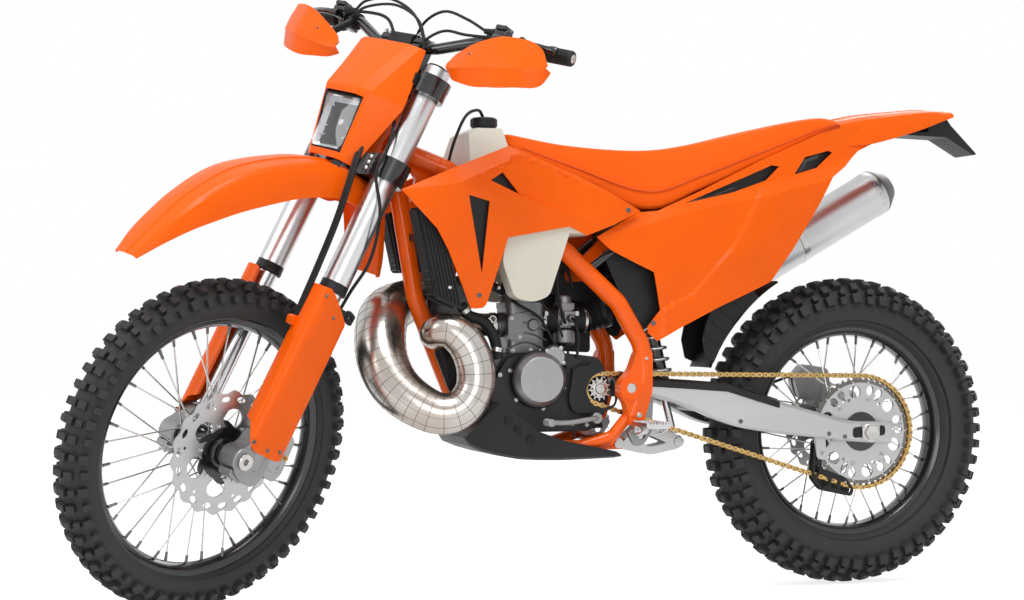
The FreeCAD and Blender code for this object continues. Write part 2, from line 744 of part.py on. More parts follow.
def front_brake():
    """The caliper grips the disc behind the left fork leg and is bolted to that leg."""
    near, far = d.front_disc_y - 16, d.front_disc_y + d.disc_thick + 20
    outline = [(-92, 10), (-78, -14), (-44, -8), (-34, 20), (-38, 78), (-62, 98), (-88, 84)]
    body = prism(outline, near, far)
    slot = disc_about_axle(room_about(d.front_disc_r + 4), d.front_disc_y - d.disc_gap,
                           d.front_disc_y + d.disc_thick + d.disc_gap)
    slot.translate(Vector(FORK_REACH, 0, 0))
    edge = d.fork_half - d.inner_tube_r
    leg_face = d.clamp_offset - 28 - d.fit_gap
    bracket = prism([(-60, 6), (leg_face, 6), (leg_face, 70), (-60, 84)], far - 6, edge + 14)
    feature("front_caliper", joined([body, bracket]).cut(slot), STEERING)


def front_cables():
    """The front brake's hose climbs the left leg and crosses to the right lever."""
    x, y = d.clamp_offset, d.fork_half
    lever = along_grip(d.bar_end_y - d.grip_long - 22) + Vector(30, -21, 12)
    hose = tube([(x - 74, y - 26, 98.5), (x - 60, y - 12, 180), (x - 34, y + 6, 300), (x - 35, y + 12, 400),
                 (x - 26, y + 36, 480), (x + 12, y + 46, 570), (x + 48, y + 22, 640), (66, 124, 690),
                 (60, 104, 750), (57, 70, 800), (56, 36, 850), (62, 6, 910), (62, -34, 962), (60, -90, 992),
                 (lever.x, -lever.y, lever.z)], 3.6, 34, 5)
    feature("front_cables", hose, STEERING)


# Chassis: frame

def frame_tubes(margin):
    """The frame's tubes, each swollen by a margin; with a margin they make room in other pieces."""
    half, foot = FRAME_HALF, STEER_FOOT.x
    main = tube([(foot - 342.1, 14, 975), (foot - 459.1, 50, 925), (-26, 92, 747), (-138, half - 1, 640), (-192, half, 550),
                 (-198, half, 480), (-168, half, 395)], d.main_tube_r + margin, 60, 8)
    cradle = tube([(-176, half, 412), (-128, half - 12, 351), (-60, 88, 332), (100, 88, 334), (180, 44, 388),
                   (206, 8, 458)], d.cradle_tube_r + margin, 30, 6)
    down = tube([(foot - 334.1, 0, 985), (foot - 363.1, 0, 915), (286, 0, 650), (245, 0, 545), (205, 0, 448)],
                d.down_tube_r + margin, 150, 8)
    return both_sides(main) + both_sides(cradle) + [down]


def frame():
    low = STRAIGHT.multVec(Vector(0, 0, d.lower_clamp_z + d.lower_clamp_high + 0.5))
    high = STRAIGHT.multVec(Vector(0, 0, d.upper_clamp_z - 0.5))
    head = rod(low, high, d.head_tube_r)
    bore = pin(low - (high - low), high + (high - low), d.stem_r + 0.5)
    half, foot = FRAME_HALF, STEER_FOOT.x
    plate = prism([(-205, 520), (-140, 520), (-132, 420), (-145, 372), (-190, 378)],
                  d.sprocket_y + d.chain_wide / 2 + 8 + d.fit_gap, half + 19)
    gusset = prism([(foot - 359.1, 960), (foot - 444.1, 925), (foot - 398.1, 760), (foot - 372.1, 880)], -9, 9)
    cross_low = stack((-128, 8 - half, 345), (0, 1, 0), [(0, 12), (2 * half - 16, 12)], 8)
    cross_high = stack((-80, -98, 700), (0, 1, 0), [(0, 14), (196, 14)], 8)
    shock_lug = prism([(-92, 694), (-66, 712), (-176, 812), (-214, 812), (-228, 788), (-184, 778)], -13, 13)
    link_lug = prism([(-190, 318), (-116, 318), (-116, 350), (-170, 350), (-190, 342)], -17.5, 17.5)
    solids = [head] + frame_tubes(0) + both_sides(plate) + [gusset, cross_low, cross_high, shock_lug, link_lug]
    pivot = rod((d.pivot_x, -200, d.pivot_z), (d.pivot_x, 200, d.pivot_z), d.pivot_r + d.run_gap)
    link_hole = rod((-174, -40, 332), (-174, 40, 332), d.link_pin_r + d.run_gap)
    under_head = rod(low - (high - low) * 0.02, low, 120)
    shape = joined(solids).cut([bore, pivot, link_hole, under_head])
    feature("frame", shape, GROUND)
    return shape


def subframe(frame_shape):
    """Two rails a side carry the seat and the rear fender behind the frame."""
    upper = tube([(-75, 100, 712), (-205, 107, 812), (-331, 107, 862), (-640, 84, 985)], d.rail_r, 60, 6)
    lower = tube([(-200, 105, 575), (-340, 107, 665), (-480, 103, 760), (-604, 88, 966)], d.rail_r, 80, 6)
    cross = stack((-628, -86, 980), (0, 1, 0), [(0, 8), (172, 8)], 6)
    pad = prism([(-640, 984), (-616, 984), (-616, 1010.9), (-631, 1017.7), (-640, 1021.6)], -60, 60)
    shape = joined(both_sides(upper) + both_sides(lower) + [cross, pad]).cut(frame_shape)
    feature("subframe", shape, GROUND)
    return shape


# Chassis: engine

def engine():
    """The case is wide at the crank and narrower at the gearbox, where the chain runs."""
    gearbox = [("-130", "405"), ("-136", "470"), ("-112", "522"), ("-30", "Sizes.barrel_z - 0.3"),
               ("105", "Sizes.barrel_z - 0.3"), ("138", "480"), ("146", "410"), ("118", "362"), ("-92", "362")]
    crank = [("-56", "366"), ("-56", "526"), ("100", "526"), ("132", "478"), ("140", "412"), ("114", "366")]
    case = padded("EngineBlock", "XZ_Plane", [(gearbox, "2 * Sizes.gearbox_half"), (crank, "2 * Sizes.case_half")])
    shaft = round_bar("GearShaft", "12", "Sizes.sprocket_y + 8 - 40", (d.shaft_x, 40, d.shaft_z))
    finish("engine_case", fused("EngineCase", [case, shaft]), GROUND)

    face = d.case_half + d.fit_gap
    left = [stack((37, face, 476), (0, 1, 0), [(0, d.flywheel_r), (28, d.flywheel_r), (36, d.flywheel_r - 10)], 12),
            stack((2, face, 524), (0, 1, 0), [(0, 26), (20, 24)], 10)]
    right = [stack((-8, -face, 452), (0, -1, 0), [(0, d.clutch_r), (30, d.clutch_r), (40, d.clutch_r - 12)], 12),
             stack((84, -face, 440), (0, -1, 0), [(0, 30), (28, 28)], 10)]
    feature("engine_covers", Part.makeCompound([joined(left), joined(right)]), GROUND)

    x = d.barrel_x
    barrel = Part.makeBox(84, 92, d.barrel_high, Vector(x - 42, -46, d.barrel_z))
    head = stack((x, 0, d.barrel_z + d.barrel_high), (0, 0, 1), [(0, d.head_r), (38, d.head_r), (46, d.head_r - 8)], 14)
    port = stack((x, 0, d.port_z), (1, 0, 0), [(0, 27), (58, 27)], 12)
    plug = stack((x, 0, d.barrel_z + d.barrel_high + 40), (0, 0, 1), [(0, 9), (40, 9)], 8)
    block = joined([barrel, head, port, plug])
    feature("cylinder", block, GROUND)

    body = stack((x - 42 - d.fit_gap, 0, 604), (-1, 0, 0), [(0, 27), (34, 30), (38, 22), (70, 22), (74, 30), (110, 30)], 10)
    bowl = stack((x - 102, 0, 548), (0, 0, 1), [(0, 20), (6, 24), (34, 24)], 8)
    top = stack((x - 102, 0, 612), (0, 0, 1), [(0, 20), (46, 18)], 8)
    feature("carburettor", joined([body, bowl, top]), GROUND)
    return block


def exhaust_line():
    """The chamber's centre line and radius, from the cylinder's port to the silencer."""
    return [(106.5, 0, d.port_z, 25), (124, 0, d.port_z, 25), (160, 14, 591, 26), (206, 40, 584, 27),
            (246, 64, 574, 29), (268, 84, 572, 31), (262, 104, 580, 34), (238, 116, 578, 37), (208, 124, 550, 40),
            (191, 128, 505, 41), (194, 130, 456, 41), (222, 128, 418, 42), (266, 118, 408, 44), (314, 98, 430, 48),
            (351, 70, 468, 52), (368, 40, 519, 54), (362, 0, 574, 55), (338, -48, 614, 54), (296, -92, 636, 50),
            (240, -112, 652, 44), (180, -122, 664, 36), (100, -138, 676, 27), (0, -152, 684, 20),
            (-120, -158, 686, 17), (-340, -154, 674, 17), (-440, -151, 666, 17), (-470, d.silencer_y, 668, 17),
            (-495.4, d.silencer_y, 678.8, 17), (-516.3, d.silencer_y, 690.5, 17)]


def exhaust_pipe(margin=0.0):
    """The chamber as rings of flat panels, each ring square to the centre line."""
    line = exhaust_line()
    points = [Vector(x, y, z) for x, y, z, radius in line]
    sections = []
    for index, (x, y, z, radius) in enumerate(line):
        along = points[min(index + 1, len(points) - 1)] - points[max(index - 1, 0)]
        sections.append(around(points[index], along, radius + margin, PIPE_SIDES))
    return skin(sections)


SILENCER_AXIS = Vector(-0.873, 0, 0.488)


def silencer_foot():
    return Vector(-562, d.silencer_y, 716)


def silencer():
    foot, wall, end = silencer_foot(), d.silencer_r, d.silencer_long
    can = stack(foot, SILENCER_AXIS, [(-52, 20), (0, wall), (end, wall), (end + 34, 34)], 12)
    mouth = stack(foot, SILENCER_AXIS, [(end - 10, 17), (end + 40, 17)], 12)
    feature("silencer", can.cut(mouth), GROUND)


# Chassis: tank, radiators, bodywork

def tank(frame_room, pipe_room):
    side = [(196, 945), (188, 1002), (166, 1014), (107, 1014), (104, 970), (-62, 898), (-62, 782), (190, 782)]
    across = [(-d.tank_half, 780), (-d.tank_half, 862), (-98, 962), (-60, 1016), (60, 1016), (98, 962),
              (d.tank_half, 862), (d.tank_half, 780)]
    hull = prism(side, -200, 200).common(cross_prism(across, -100, 250))
    lobe_side = [(-18, 801), (32, 653), (67, 640), (110, 649), (137, 725), (124, 800)]
    lobes = both_sides(prism(lobe_side, d.tank_half - 27, d.tank_half))
    shape = joined([hull] + lobes).cut(frame_room + [pipe_room])
    solids = sorted(shape.Solids, key=lambda solid: solid.Volume)
    feature("fuel_tank", solids[-1], GROUND)
    cap = stack((131, 0, 1014 + d.fit_gap), (0, 0, 1), [(0, 26), (6, 29), (22, 29), (26, 24)], 14)
    feature("tank_cap", cap, GROUND)


def radiators(pipe_room, frame_shape):
    """The cores hang beside the down tube, each on a bracket."""
    core = prism([(322, 836), (284, 648), (228, 624), (272, 842)], 84, 150)
    bracket = prism([(290, 770), (304, 770), (308, 786), (294, 786)], 8, 86)
    left, right = [side.cut(frame_shape) for side in both_sides(joined([core, bracket]))]
    feature("radiators", Part.makeCompound([left, largest(right.cut(pipe_room))]), GROUND)
    return left


def curved_panel(outline, plan, thick, near, far):
    """A side panel: a band that follows the plan line, trimmed to its side outline."""
    inner = [(x, y - thick) for x, y in reversed(plan)]
    band = slab(plan + inner, near, far)
    return band.common(prism(outline, 40, 260))


def shrouds(pipe_room):
    plan = [(-190, d.tank_half - 11), (-60, d.tank_half + 5), (60, d.tank_half + 13), (200, d.tank_half + 31),
            (380, d.shroud_half)]
    outline = [(369, 868), (125, 967), (-180, 837), (-52, 782), (-11, 800), (128, 775), (169, 636), (204, 625),
               (260, 747), (287, 790)]
    slots = [prism([(219, 861), (172, 849), (183, 698)], 100, 260),
             prism([(169, 893), (141, 911), (101, 865)], 100, 260)]
    panel = curved_panel(outline, plan, d.panel_thick, 560, 1020).cut(slots)
    left, right = both_sides(panel)
    feature("shrouds", Part.makeCompound([left, right.cut(pipe_room)]), GROUND)


def side_panels(silencer_room, rails):
    plan = [(-60, 130), (-250, 134), (-450, 130), (-600, 114), (-750, 94)]
    outline = [(-81, 780), (-112, 753), (-212, 706), (-229, 624), (-202, 588), (-203, 575), (-225, 557),
               (-278, 586), (-369, 631), (-466, 673), (-499, 688), (-554, 760), (-620, 859), (-658, 924),
               (-697, 951), (-735, 986), (-631, 1016), (-331, 883), (-225, 839), (-180, 835)]
    slots = [prism([(-288, 856), (-505, 946), (-525, 944), (-490, 912), (-406, 883)], 50, 260),
             prism([(-592, 967), (-656, 984), (-666, 980), (-623, 944), (-563, 927)], 50, 260)]
    panel = curved_panel(outline, plan[::-1], d.panel_thick, 500, 1060).cut(slots)
    standoffs = [stack((x, 103, z), (0, 1, 0), [(0, 7), (reach, 7)], 6) for x, z, reach in
                 ((-270, 838, 28), (-480, 760, 23))]
    panel = joined([panel] + standoffs).cut(rails)
    panel = largest(panel)
    left, right = both_sides(panel)
    right = right.cut(silencer_room)
    right = max(right.Solids, key=lambda solid: solid.Volume)
    feature("side_panels", Part.makeCompound([left, right]), GROUND)


def seat():
    stations = [(96, 976, 1006, 52, 44), (-40, 913, 982, 84, 66), (-205, 841, 975, 108, 76),
                (-331, 885, 992, 112, 82), (-500, 959, 1033, 106, 84), (-631, 1018, 1060, 90, 76),
                (-690, 1042, 1058, 82, 70)]
    sections = []
    for x, low, high, wide, narrow in stations:
        shoulder = low + 0.45 * (high - low)
        half = [(wide, low), (wide, shoulder), (narrow, high)]
        sections.append([(x, y, z) for y, z in half] + [(x, -y, z) for y, z in reversed(half)])
    feature("seat", skin(sections), GROUND)


def airbox(frame_room, frame_shape, rails):
    outline = [(-150, 700), (-158, 812), (-205, 840.7), (-331, 884.7), (-500, 958.7), (-560, 985.7), (-590, 972),
               (-600, 780), (-560, 690), (-490, 632), (-430, 700)]
    block = prism(outline, -90, 90)
    wheel = disc_about_axle(ARCH_R, -200, 200, ARCH_SIDES)
    wheel.translate(REAR_AXLE)
    shock_room = rod(*shock_ends(), d.spring_r + 5)
    shape = block.cut(frame_room + [wheel, shock_room, frame_shape, rails])
    shape = max(shape.Solids, key=lambda solid: solid.Volume)
    feature("airbox", shape, GROUND)


def rear_fender():
    crest = [(-690.3, 1057.4, 84, 62), (-760, 1072, 82, 68), (-840, 1082, 76, 58), (-930, 1091, 66, 40),
             (-1004, 1088, 52, 12)]
    shell = fender(crest)
    feature("rear_fender", shell, GROUND)
    holder = prism([(-856, 1030), (-880, 1082), (-985, 1089), (-1006, 1060), (-1076, 992), (-1066, 988),
                    (-992, 1030)], -40, 40)
    holder = holder.cut(shell)
    feature("plate_holder", min(holder.Solids, key=lambda solid: solid.CenterOfMass.z), GROUND)


def mud_flap():
    """A curved flap that follows the rear tyre in front of it."""
    outer = ARCH_R - d.fit_gap
    ring_shape = disc_about_axle(outer, -62, 62, ARCH_SIDES)
    ring_shape = ring_shape.cut(disc_about_axle(outer - d.panel_thick, -62, 62, ARCH_SIDES))
    reach = ARCH_R + 40
    wedge = [(0, 0)] + [(reach * math.cos(math.radians(angle)), reach * math.sin(math.radians(angle)))
                        for angle in (22, 48, 74)]
    shape = ring_shape.common(prism(wedge, -62, 62))
    shape.translate(REAR_AXLE)
    feature("mud_flap", shape, GROUND)


def skid_plate(room):
    outline = [(134, 429), (83, 395), (26, 355), (-35, 341), (-134, 319), (-146, 311), (-8, 306), (83, 310),
               (194, 340), (205, 357)]
    cavity = [(150, 460), (83, 460), (-160, 460), (-160, 316), (-8, 310), (82, 314), (190, 344), (198, 356)]
    wall = d.panel_thick
    half = d.pan_half
    shape = prism(outline, -half, half).cut(prism(cavity, -half + wall, half - wall))
    feature("skid_plate", shape.cut(room), GROUND)


# Chassis: rear suspension and drive

def shock_ends():
    return Vector(-207, 0, 776), Vector(-318, 0, 332)


def shock(frame_shape):
    top, bottom = shock_ends()
    along = (bottom - top).normalize()
    length = (bottom - top).Length
    first, last, wire = 70, 332, 8
    coil = (last - first) / SPRING_COILS
    levels = [(first, d.spring_r)]
    for turn in range(SPRING_COILS):
        foot = first + coil * turn
        levels += [(foot + wire, d.spring_r), (foot + wire + 4, d.spring_r - 8), (foot + coil - 4, d.spring_r - 8),
                   (foot + coil, d.spring_r)]
    spring = stack(top, along, levels + [(last + wire, d.spring_r)], 8)
    body = stack(top, along, [(3, 21), (345, 21)], 8)
    shaft = stack(top, along, [(340, 9), (length - 4, 9)], 8)
    eye = rod(bottom + Vector(0, -14, 0), bottom + Vector(0, 14, 0), 15)
    hole = rod(bottom + Vector(0, -20, 0), bottom + Vector(0, 20, 0), d.link_pin_r + d.run_gap)
    feature("shock", joined([spring, body, shaft, eye]).cut(hole).cut(frame_shape), GROUND)


def linkage():
    """The rocker: two triangular plates on three pins."""
    bottom = shock_ends()[1]
    corners = [(-174, 332), (bottom.x, bottom.z), (-236, 362)]
    outline = [(-186, 338), (-178, 320), (-250, 304), (-316, 316), (-334, 334), (-320, 346), (-240, 376), (-226, 374)]
    window = prism([(-216, 338), (-248, 322), (-290, 330), (-244, 350)], -60, 60)
    plates = [shape.cut(window) for shape in both_sides(prism(outline, 18, 24))]
    pins = [stack((x, -half, z), (0, 1, 0), [(0, d.link_pin_r), (2 * half, d.link_pin_r)], 12)
            for (x, z), half in zip(corners, (24, 24, 37))]
    feature("linkage", joined(plates + pins), GROUND)


def arm_line(x):
    """The height at x of the line from the swingarm's pivot to the rear axle."""
    share = (x - d.pivot_x) / (REAR_AXLE.x - d.pivot_x)
    return d.pivot_z + share * (REAR_AXLE.z - d.pivot_z)


def swingarm():
    out, thick = d.arm_out_y, d.arm_thick
    end = REAR_AXLE.x
    stations = [(-141, -24, 14, 52, 84), (-212, -9, 26, 54, 84), (-306, -17, 37, 62, 92), (-400, -39, 47, 72, 104),
                (-475, -42, 37, 80, 112), (end + 131, -34, 24, out - thick, out),
                (end + 44, -28, 19, out - thick, out), (end - 56, -17, 34, out - thick, out)]
    sections = [[(x, inner, arm_line(x) + low), (x, outer, arm_line(x) + low), (x, outer, arm_line(x) + high),
                 (x, inner, arm_line(x) + high)] for x, low, high, inner, outer in stations]
    arms = both_sides(skin(sections))
    pivot = stack((d.pivot_x, -84, d.pivot_z), (0, 1, 0), [(0, 21), (168, 21)], 10)
    bolt = rod((d.pivot_x, -FRAME_HALF - 25, d.pivot_z), (d.pivot_x, FRAME_HALF + 25, d.pivot_z), d.pivot_r)
    back = d.bridge_x
    level = arm_line(back)
    bridge = prism([(back, level - 12), (back + 32, level - 18), (back + 36, level + 30), (back, level + 34)], -80, 80)
    stay = stack((-236, -60, 440), (0, 1, 0), [(0, 13), (120, 13)], 8)
    lugs = both_sides(prism([(-252, 440), (-248, 352), (-224, 352), (-220, 440)], 25, 36))
    axle = pin((REAR_AXLE.x, -200, REAR_AXLE.z), (REAR_AXLE.x, 200, REAR_AXLE.z), d.rear_axle_r + d.run_gap)
    link_hole = rod((-236, -60, 362), (-236, 60, 362), d.link_pin_r + d.run_gap)
    shape = joined(arms + [pivot, bolt, bridge, stay] + lugs).cut([axle, link_hole])
    feature("swingarm", shape, GROUND)
    return shape


def rear_axle():
    feature("rear_axle", headed_axle(0, d.rear_axle_r, d.arm_out_y + d.fit_gap, 6, 8), REAR_WHEEL)


def pitch_radius(teeth):
    return d.chain_pitch / (2 * math.sin(math.pi / teeth))


def chain_arcs():
    """The pitch line's two arcs as (centre, radius, begin, sweep), each followed by a straight run."""
    front = Vector(d.shaft_x, 0, d.shaft_z)
    gap = REAR_AXLE - front
    small, large = pitch_radius(d.front_teeth), pitch_radius(d.rear_teeth)
    lean = math.atan2(gap.z, gap.x)
    spread = math.acos((small - large) / gap.Length)
    straight = math.sqrt(gap.Length ** 2 - (large - small) ** 2)
    return [(front, small, lean + spread, 2 * (math.pi - spread)), (REAR_AXLE, large, lean - spread, 2 * spread)], straight


def chain_outline(offset):
    """The chain's loop round both sprockets, moved outward by an offset."""
    points = []
    for (centre, radius, begin, sweep), count in zip(chain_arcs()[0], (8, 16)):
        for index in range(count + 1):
            angle = begin + sweep * index / count
            points.append((centre.x + (radius + offset) * math.cos(angle),
                           centre.z + (radius + offset) * math.sin(angle)))
    return points


def chain_pins():
    """The chain's pins, evenly spaced on the pitch line, each with its direction out of the loop."""
    arcs, straight = chain_arcs()
    total = sum(radius * sweep + straight for centre, radius, begin, sweep in arcs)
    links = 2 * round(total / d.chain_pitch / 2)
    pins = []
    for link in range(links):
        along = total * link / links
        for centre, radius, begin, sweep in arcs:
            bent = min(along, radius * sweep)
            angle = begin + bent / radius
            out = Vector(math.cos(angle), 0, math.sin(angle))
            run = along - bent
            if run < straight:
                break
            along = run - straight
        pins.append((centre + out * radius + Vector(-out.z, 0, out.x) * run, out))
    return pins


def chain():
    """Wide outer links and narrow inner ones in turn, one solid loop."""
    reach = d.chain_high / 2
    rows = [(pin_point - out * reach, pin_point + out * reach) for pin_point, out in chain_pins()]
    wide, narrow = d.chain_wide / 2, d.chain_narrow / 2
    faces = []

    def at(point, y):
        return Vector(point.x, d.sprocket_y + y, point.z)

    for index, (inner, outer) in enumerate(rows):
        next_inner, next_outer = rows[(index + 1) % len(rows)]
        half, steps = ((wide, (-wide, -narrow, narrow, wide)), (narrow, (-narrow, narrow)))[index % 2]
        for near, far in ((inner, next_inner), (outer, next_outer)):
            faces.append(flat([at(near, y) for y in steps] + [at(far, y) for y in reversed(steps)]))
        for side in (-1, 1):
            faces.append(flat([at(point, side * half) for point in (inner, outer, next_outer, next_inner)]))
            faces.append(flat([at(inner, side * wide), at(outer, side * wide), at(outer, side * narrow),
                               at(inner, side * narrow)]))
    feature("chain", solid_of(faces), GROUND)


def chain_drive(arms):
    near, far = d.sprocket_y - d.chain_wide / 2, d.sprocket_y + d.chain_wide / 2
    thick = d.sprocket_thick
    tip = pitch_radius(d.front_teeth) * math.cos(math.pi / d.front_teeth) - d.chain_high / 2 - d.fit_gap
    cog = star(tip, tip - 5, int(d.front_teeth), d.sprocket_y - thick / 2, d.sprocket_y + thick / 2)
    cog = cog.cut(disc_about_axle(room_about(12 + d.run_gap), 0, 200))
    cog.translate(Vector(d.shaft_x, 0, d.shaft_z))
    feature("countershaft_sprocket", cog, GROUND)

    wall_y = d.sprocket_y + d.chain_wide / 2 + 3
    cover = prism([(-150, 470), (-140, 415), (-100, 400), (-42, 404), (-30, 430), (-42, 500), (-92, 508)],
                  wall_y, wall_y + 5)
    foot = prism([(-54, 410), (-36, 410), (-40, 500), (-54, 500)], d.case_half + d.fit_gap, wall_y)
    saver = joined([cover, foot]).cut(rod((37, 60, 476), (37, 140, 476), d.flywheel_r + 2))
    guide = prism([(121, -17), (127, -102), (104, -130), (29, -146), (22, -130), (44, -102), (104, -80), (104, -20)],
                  near - 4, far + 4)
    sweep = disc_about_axle(room_about(pitch_radius(d.rear_teeth) + 8), near - 6, far + 6)
    sweep.translate(REAR_AXLE)
    channel = prism(chain_outline(d.chain_high / 2 + 1), near - 1, far + 1)
    ear = prism([(89, -120), (116, -110), (123, 3), (101, 3)], far, far + 13)
    guide = joined([guide, ear])
    guide.translate(REAR_AXLE)
    guide = guide.cut([sweep, channel, arms])
    guide = max(guide.Solids, key=lambda solid: solid.Volume)
    feature("chain_guides", Part.makeCompound([saver, guide]), GROUND)


def rear_brake():
    """The caliper stands over the disc on a bracket that hangs on the axle."""
    disc_in, disc_out = -d.rear_disc_y, -d.rear_disc_y - d.disc_thick
    body = prism([(0, 82), (8, 140), (70, 150), (96, 118), (84, 74), (30, 66)], disc_out - 17, disc_in + 17)
    slot = disc_about_axle(room_about(d.rear_disc_r + 4), disc_out - d.disc_gap, disc_in + d.disc_gap)
    outer = -(d.arm_out_y - d.arm_thick) + d.fit_gap
    plate = prism([(-22, -20), (22, -20), (60, 70), (60, 100), (14, 100), (-22, 30)], outer, disc_out - d.disc_gap - 1)
    bore = disc_about_axle(room_about(d.rear_axle_r + 7 + d.fit_gap), -200, 0)
    feature("rear_caliper", joined([body, plate]).cut([slot, bore]), REAR_WHEEL)


def foot_controls():
    reach = FRAME_HALF + d.main_tube_r
    peg = joined([prism([(-216, 388), (-212, 372), (-164, 372), (-160, 388)], reach + 8, reach + 8 + d.peg_long),
                  prism([(-200, 386), (-196, 360), (-166, 356), (-162, 384)], FRAME_HALF + 19 + d.fit_gap, reach + 8)])
    feature("footpegs", Part.makeCompound(both_sides(peg)), GROUND)
    shift = tube([(-90, d.gearbox_half + d.fit_gap, 392), (-90, 108, 392), (-20, 118, 384), (34, 128, 386)], 6, 9, 6)
    toe = stack((32, 122, 386), (0, 1, 0), [(0, 8), (38, 8)], 8)
    face = FRAME_HALF + 19 + d.fit_gap
    brake = tube([(-143, -face, 440), (-143, -face - 13, 440), (-122, -face - 14, 400), (-92, -face - 12, 364),
                  (-30, -face - 12, 366), (20, -face - 12, 384)], 6, 9, 6)
    pad = stack((17, -face - 4, 384), (0, -1, 0), [(0, 8), (40, 8)], 8)
    feature("foot_levers", Part.makeCompound([joined([shift, toe]), joined([brake, pad])]), GROUND)


def hoses(core, block):
    """The lower radiator hose runs from the left radiator to the cylinder."""
    hose = tube([(262, 83.4, 668), (256, 58, 676), (170, 40, 694), (88, 10, 664)], 10, 14, 8)
    feature("coolant_hose", hose.cut([core, block]), GROUND)


front_wheel()
rear_wheel()
fork()
clamps()
handlebar()
handguards()
fork_guards()
headlight()
front_fender()
front_brake()
front_cables()
frame_shape = frame()
rails = subframe(frame_shape)
cylinder_block = engine()
pipe = exhaust_pipe()
feature("exhaust_pipe", pipe, GROUND)
pipe_room = exhaust_pipe(6)
frame_room = frame_tubes(d.fit_gap)
silencer()
silencer_room = rod(silencer_foot() - SILENCER_AXIS * 80, silencer_foot() + SILENCER_AXIS * (d.silencer_long + 60),
                    d.silencer_r + 4)
tank(frame_room, pipe_room)
left_core = radiators(pipe_room, frame_shape)
shrouds(pipe_room)
side_panels(silencer_room, rails)
seat()
airbox(frame_room, frame_shape, rails)
rear_fender()
mud_flap()
skid_plate(frame_shape)
shock(frame_shape)
linkage()
arms = swingarm()
rear_axle()
chain()
chain_drive(arms)
rear_brake()
foot_controls()
hoses(left_core, cylinder_block)
doc.recompute()

for item in doc.Objects:
    if "Invalid" in item.State or "Error" in item.State:
        raise RuntimeError(f"{item.Label} failed: {item.State}")
for item in nodes:
    if item.Shape.isNull() or not item.Shape.isValid() or not item.Shape.Solids:
        raise RuntimeError(f"{item.Label} has no valid solid")

os.makedirs("parts", exist_ok=True)
for item in nodes:
    item.Shape.exportStep(f"parts/{item.Label}.step")
print(f"{len(nodes)} nodes written")
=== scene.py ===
"""Enduro dirt bike: the looks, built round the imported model.

Pieces are drawn in millimetres in one of four frames of reference and placed by its matrix:
GROUND (X = 0 midway between the axles, Z = 0 on the ground), STEER (Z up the steering axis, the front
axle at Z = 0), FRONT and REAR (centred on a wheel, the axle along Y).
"""
import math
import random
import bmesh
import bpy
from mathutils import Matrix, Vector
from mathutils.geometry import delaunay_2d_cdt


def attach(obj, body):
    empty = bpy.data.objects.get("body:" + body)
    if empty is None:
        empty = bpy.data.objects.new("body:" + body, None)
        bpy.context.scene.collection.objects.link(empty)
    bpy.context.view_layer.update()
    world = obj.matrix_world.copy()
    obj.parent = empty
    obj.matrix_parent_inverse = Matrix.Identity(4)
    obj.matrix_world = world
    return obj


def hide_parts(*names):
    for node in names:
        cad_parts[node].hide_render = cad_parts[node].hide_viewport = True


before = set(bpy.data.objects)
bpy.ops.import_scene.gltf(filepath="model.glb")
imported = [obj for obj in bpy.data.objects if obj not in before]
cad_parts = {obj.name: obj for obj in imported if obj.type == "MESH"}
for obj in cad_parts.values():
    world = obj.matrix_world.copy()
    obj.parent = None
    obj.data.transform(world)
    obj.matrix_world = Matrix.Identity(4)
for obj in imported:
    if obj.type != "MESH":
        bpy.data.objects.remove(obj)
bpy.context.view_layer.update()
random.seed(7)

FLOOR_Z = -0.974
RAKE = math.radians(26.1)
TURN = math.radians(28.8)
STEER_AXIS = Vector((-math.sin(RAKE), 0, math.cos(RAKE)))
FORK_REACH = 55
AXLE = Vector((-743.5, 0, 350))
MM = Matrix.Scale(0.001, 4)
GROUND = Matrix.Translation((0.160, 0, FLOOR_Z)) @ MM
STEER = (Matrix.Translation((0.8541, 0, -0.6482)) @ Matrix.Rotation(TURN, 4, STEER_AXIS)
         @ Matrix.Rotation(-RAKE, 4, "Y") @ MM)
FRONT = STEER @ Matrix.Translation((FORK_REACH, 0, 0))
REAR = GROUND @ Matrix.Translation(AXLE)
UP, ALONG, AHEAD = Vector((0, 0, 1)), Vector((0, 1, 0)), Vector((1, 0, 0))
MIRROR = Matrix.Scale(-1, 4, ALONG)


# Materials

BUMP_DEPTH = 0.0004
COAT_ROUGHNESS = 0.12
RAMP_FOOT, RAMP_TOP = 0.36, 0.62


def nodes_of(name):
    made = bpy.data.materials.new(name)
    made.use_nodes = True
    return made, made.node_tree.nodes, made.node_tree.links


def noise(nodes, links, mapping, scale, detail):
    made = nodes.new("ShaderNodeTexNoise")
    made.inputs["Scale"].default_value = scale
    made.inputs["Detail"].default_value = detail
    links.new(mapping.outputs["Vector"], made.inputs["Vector"])
    return made


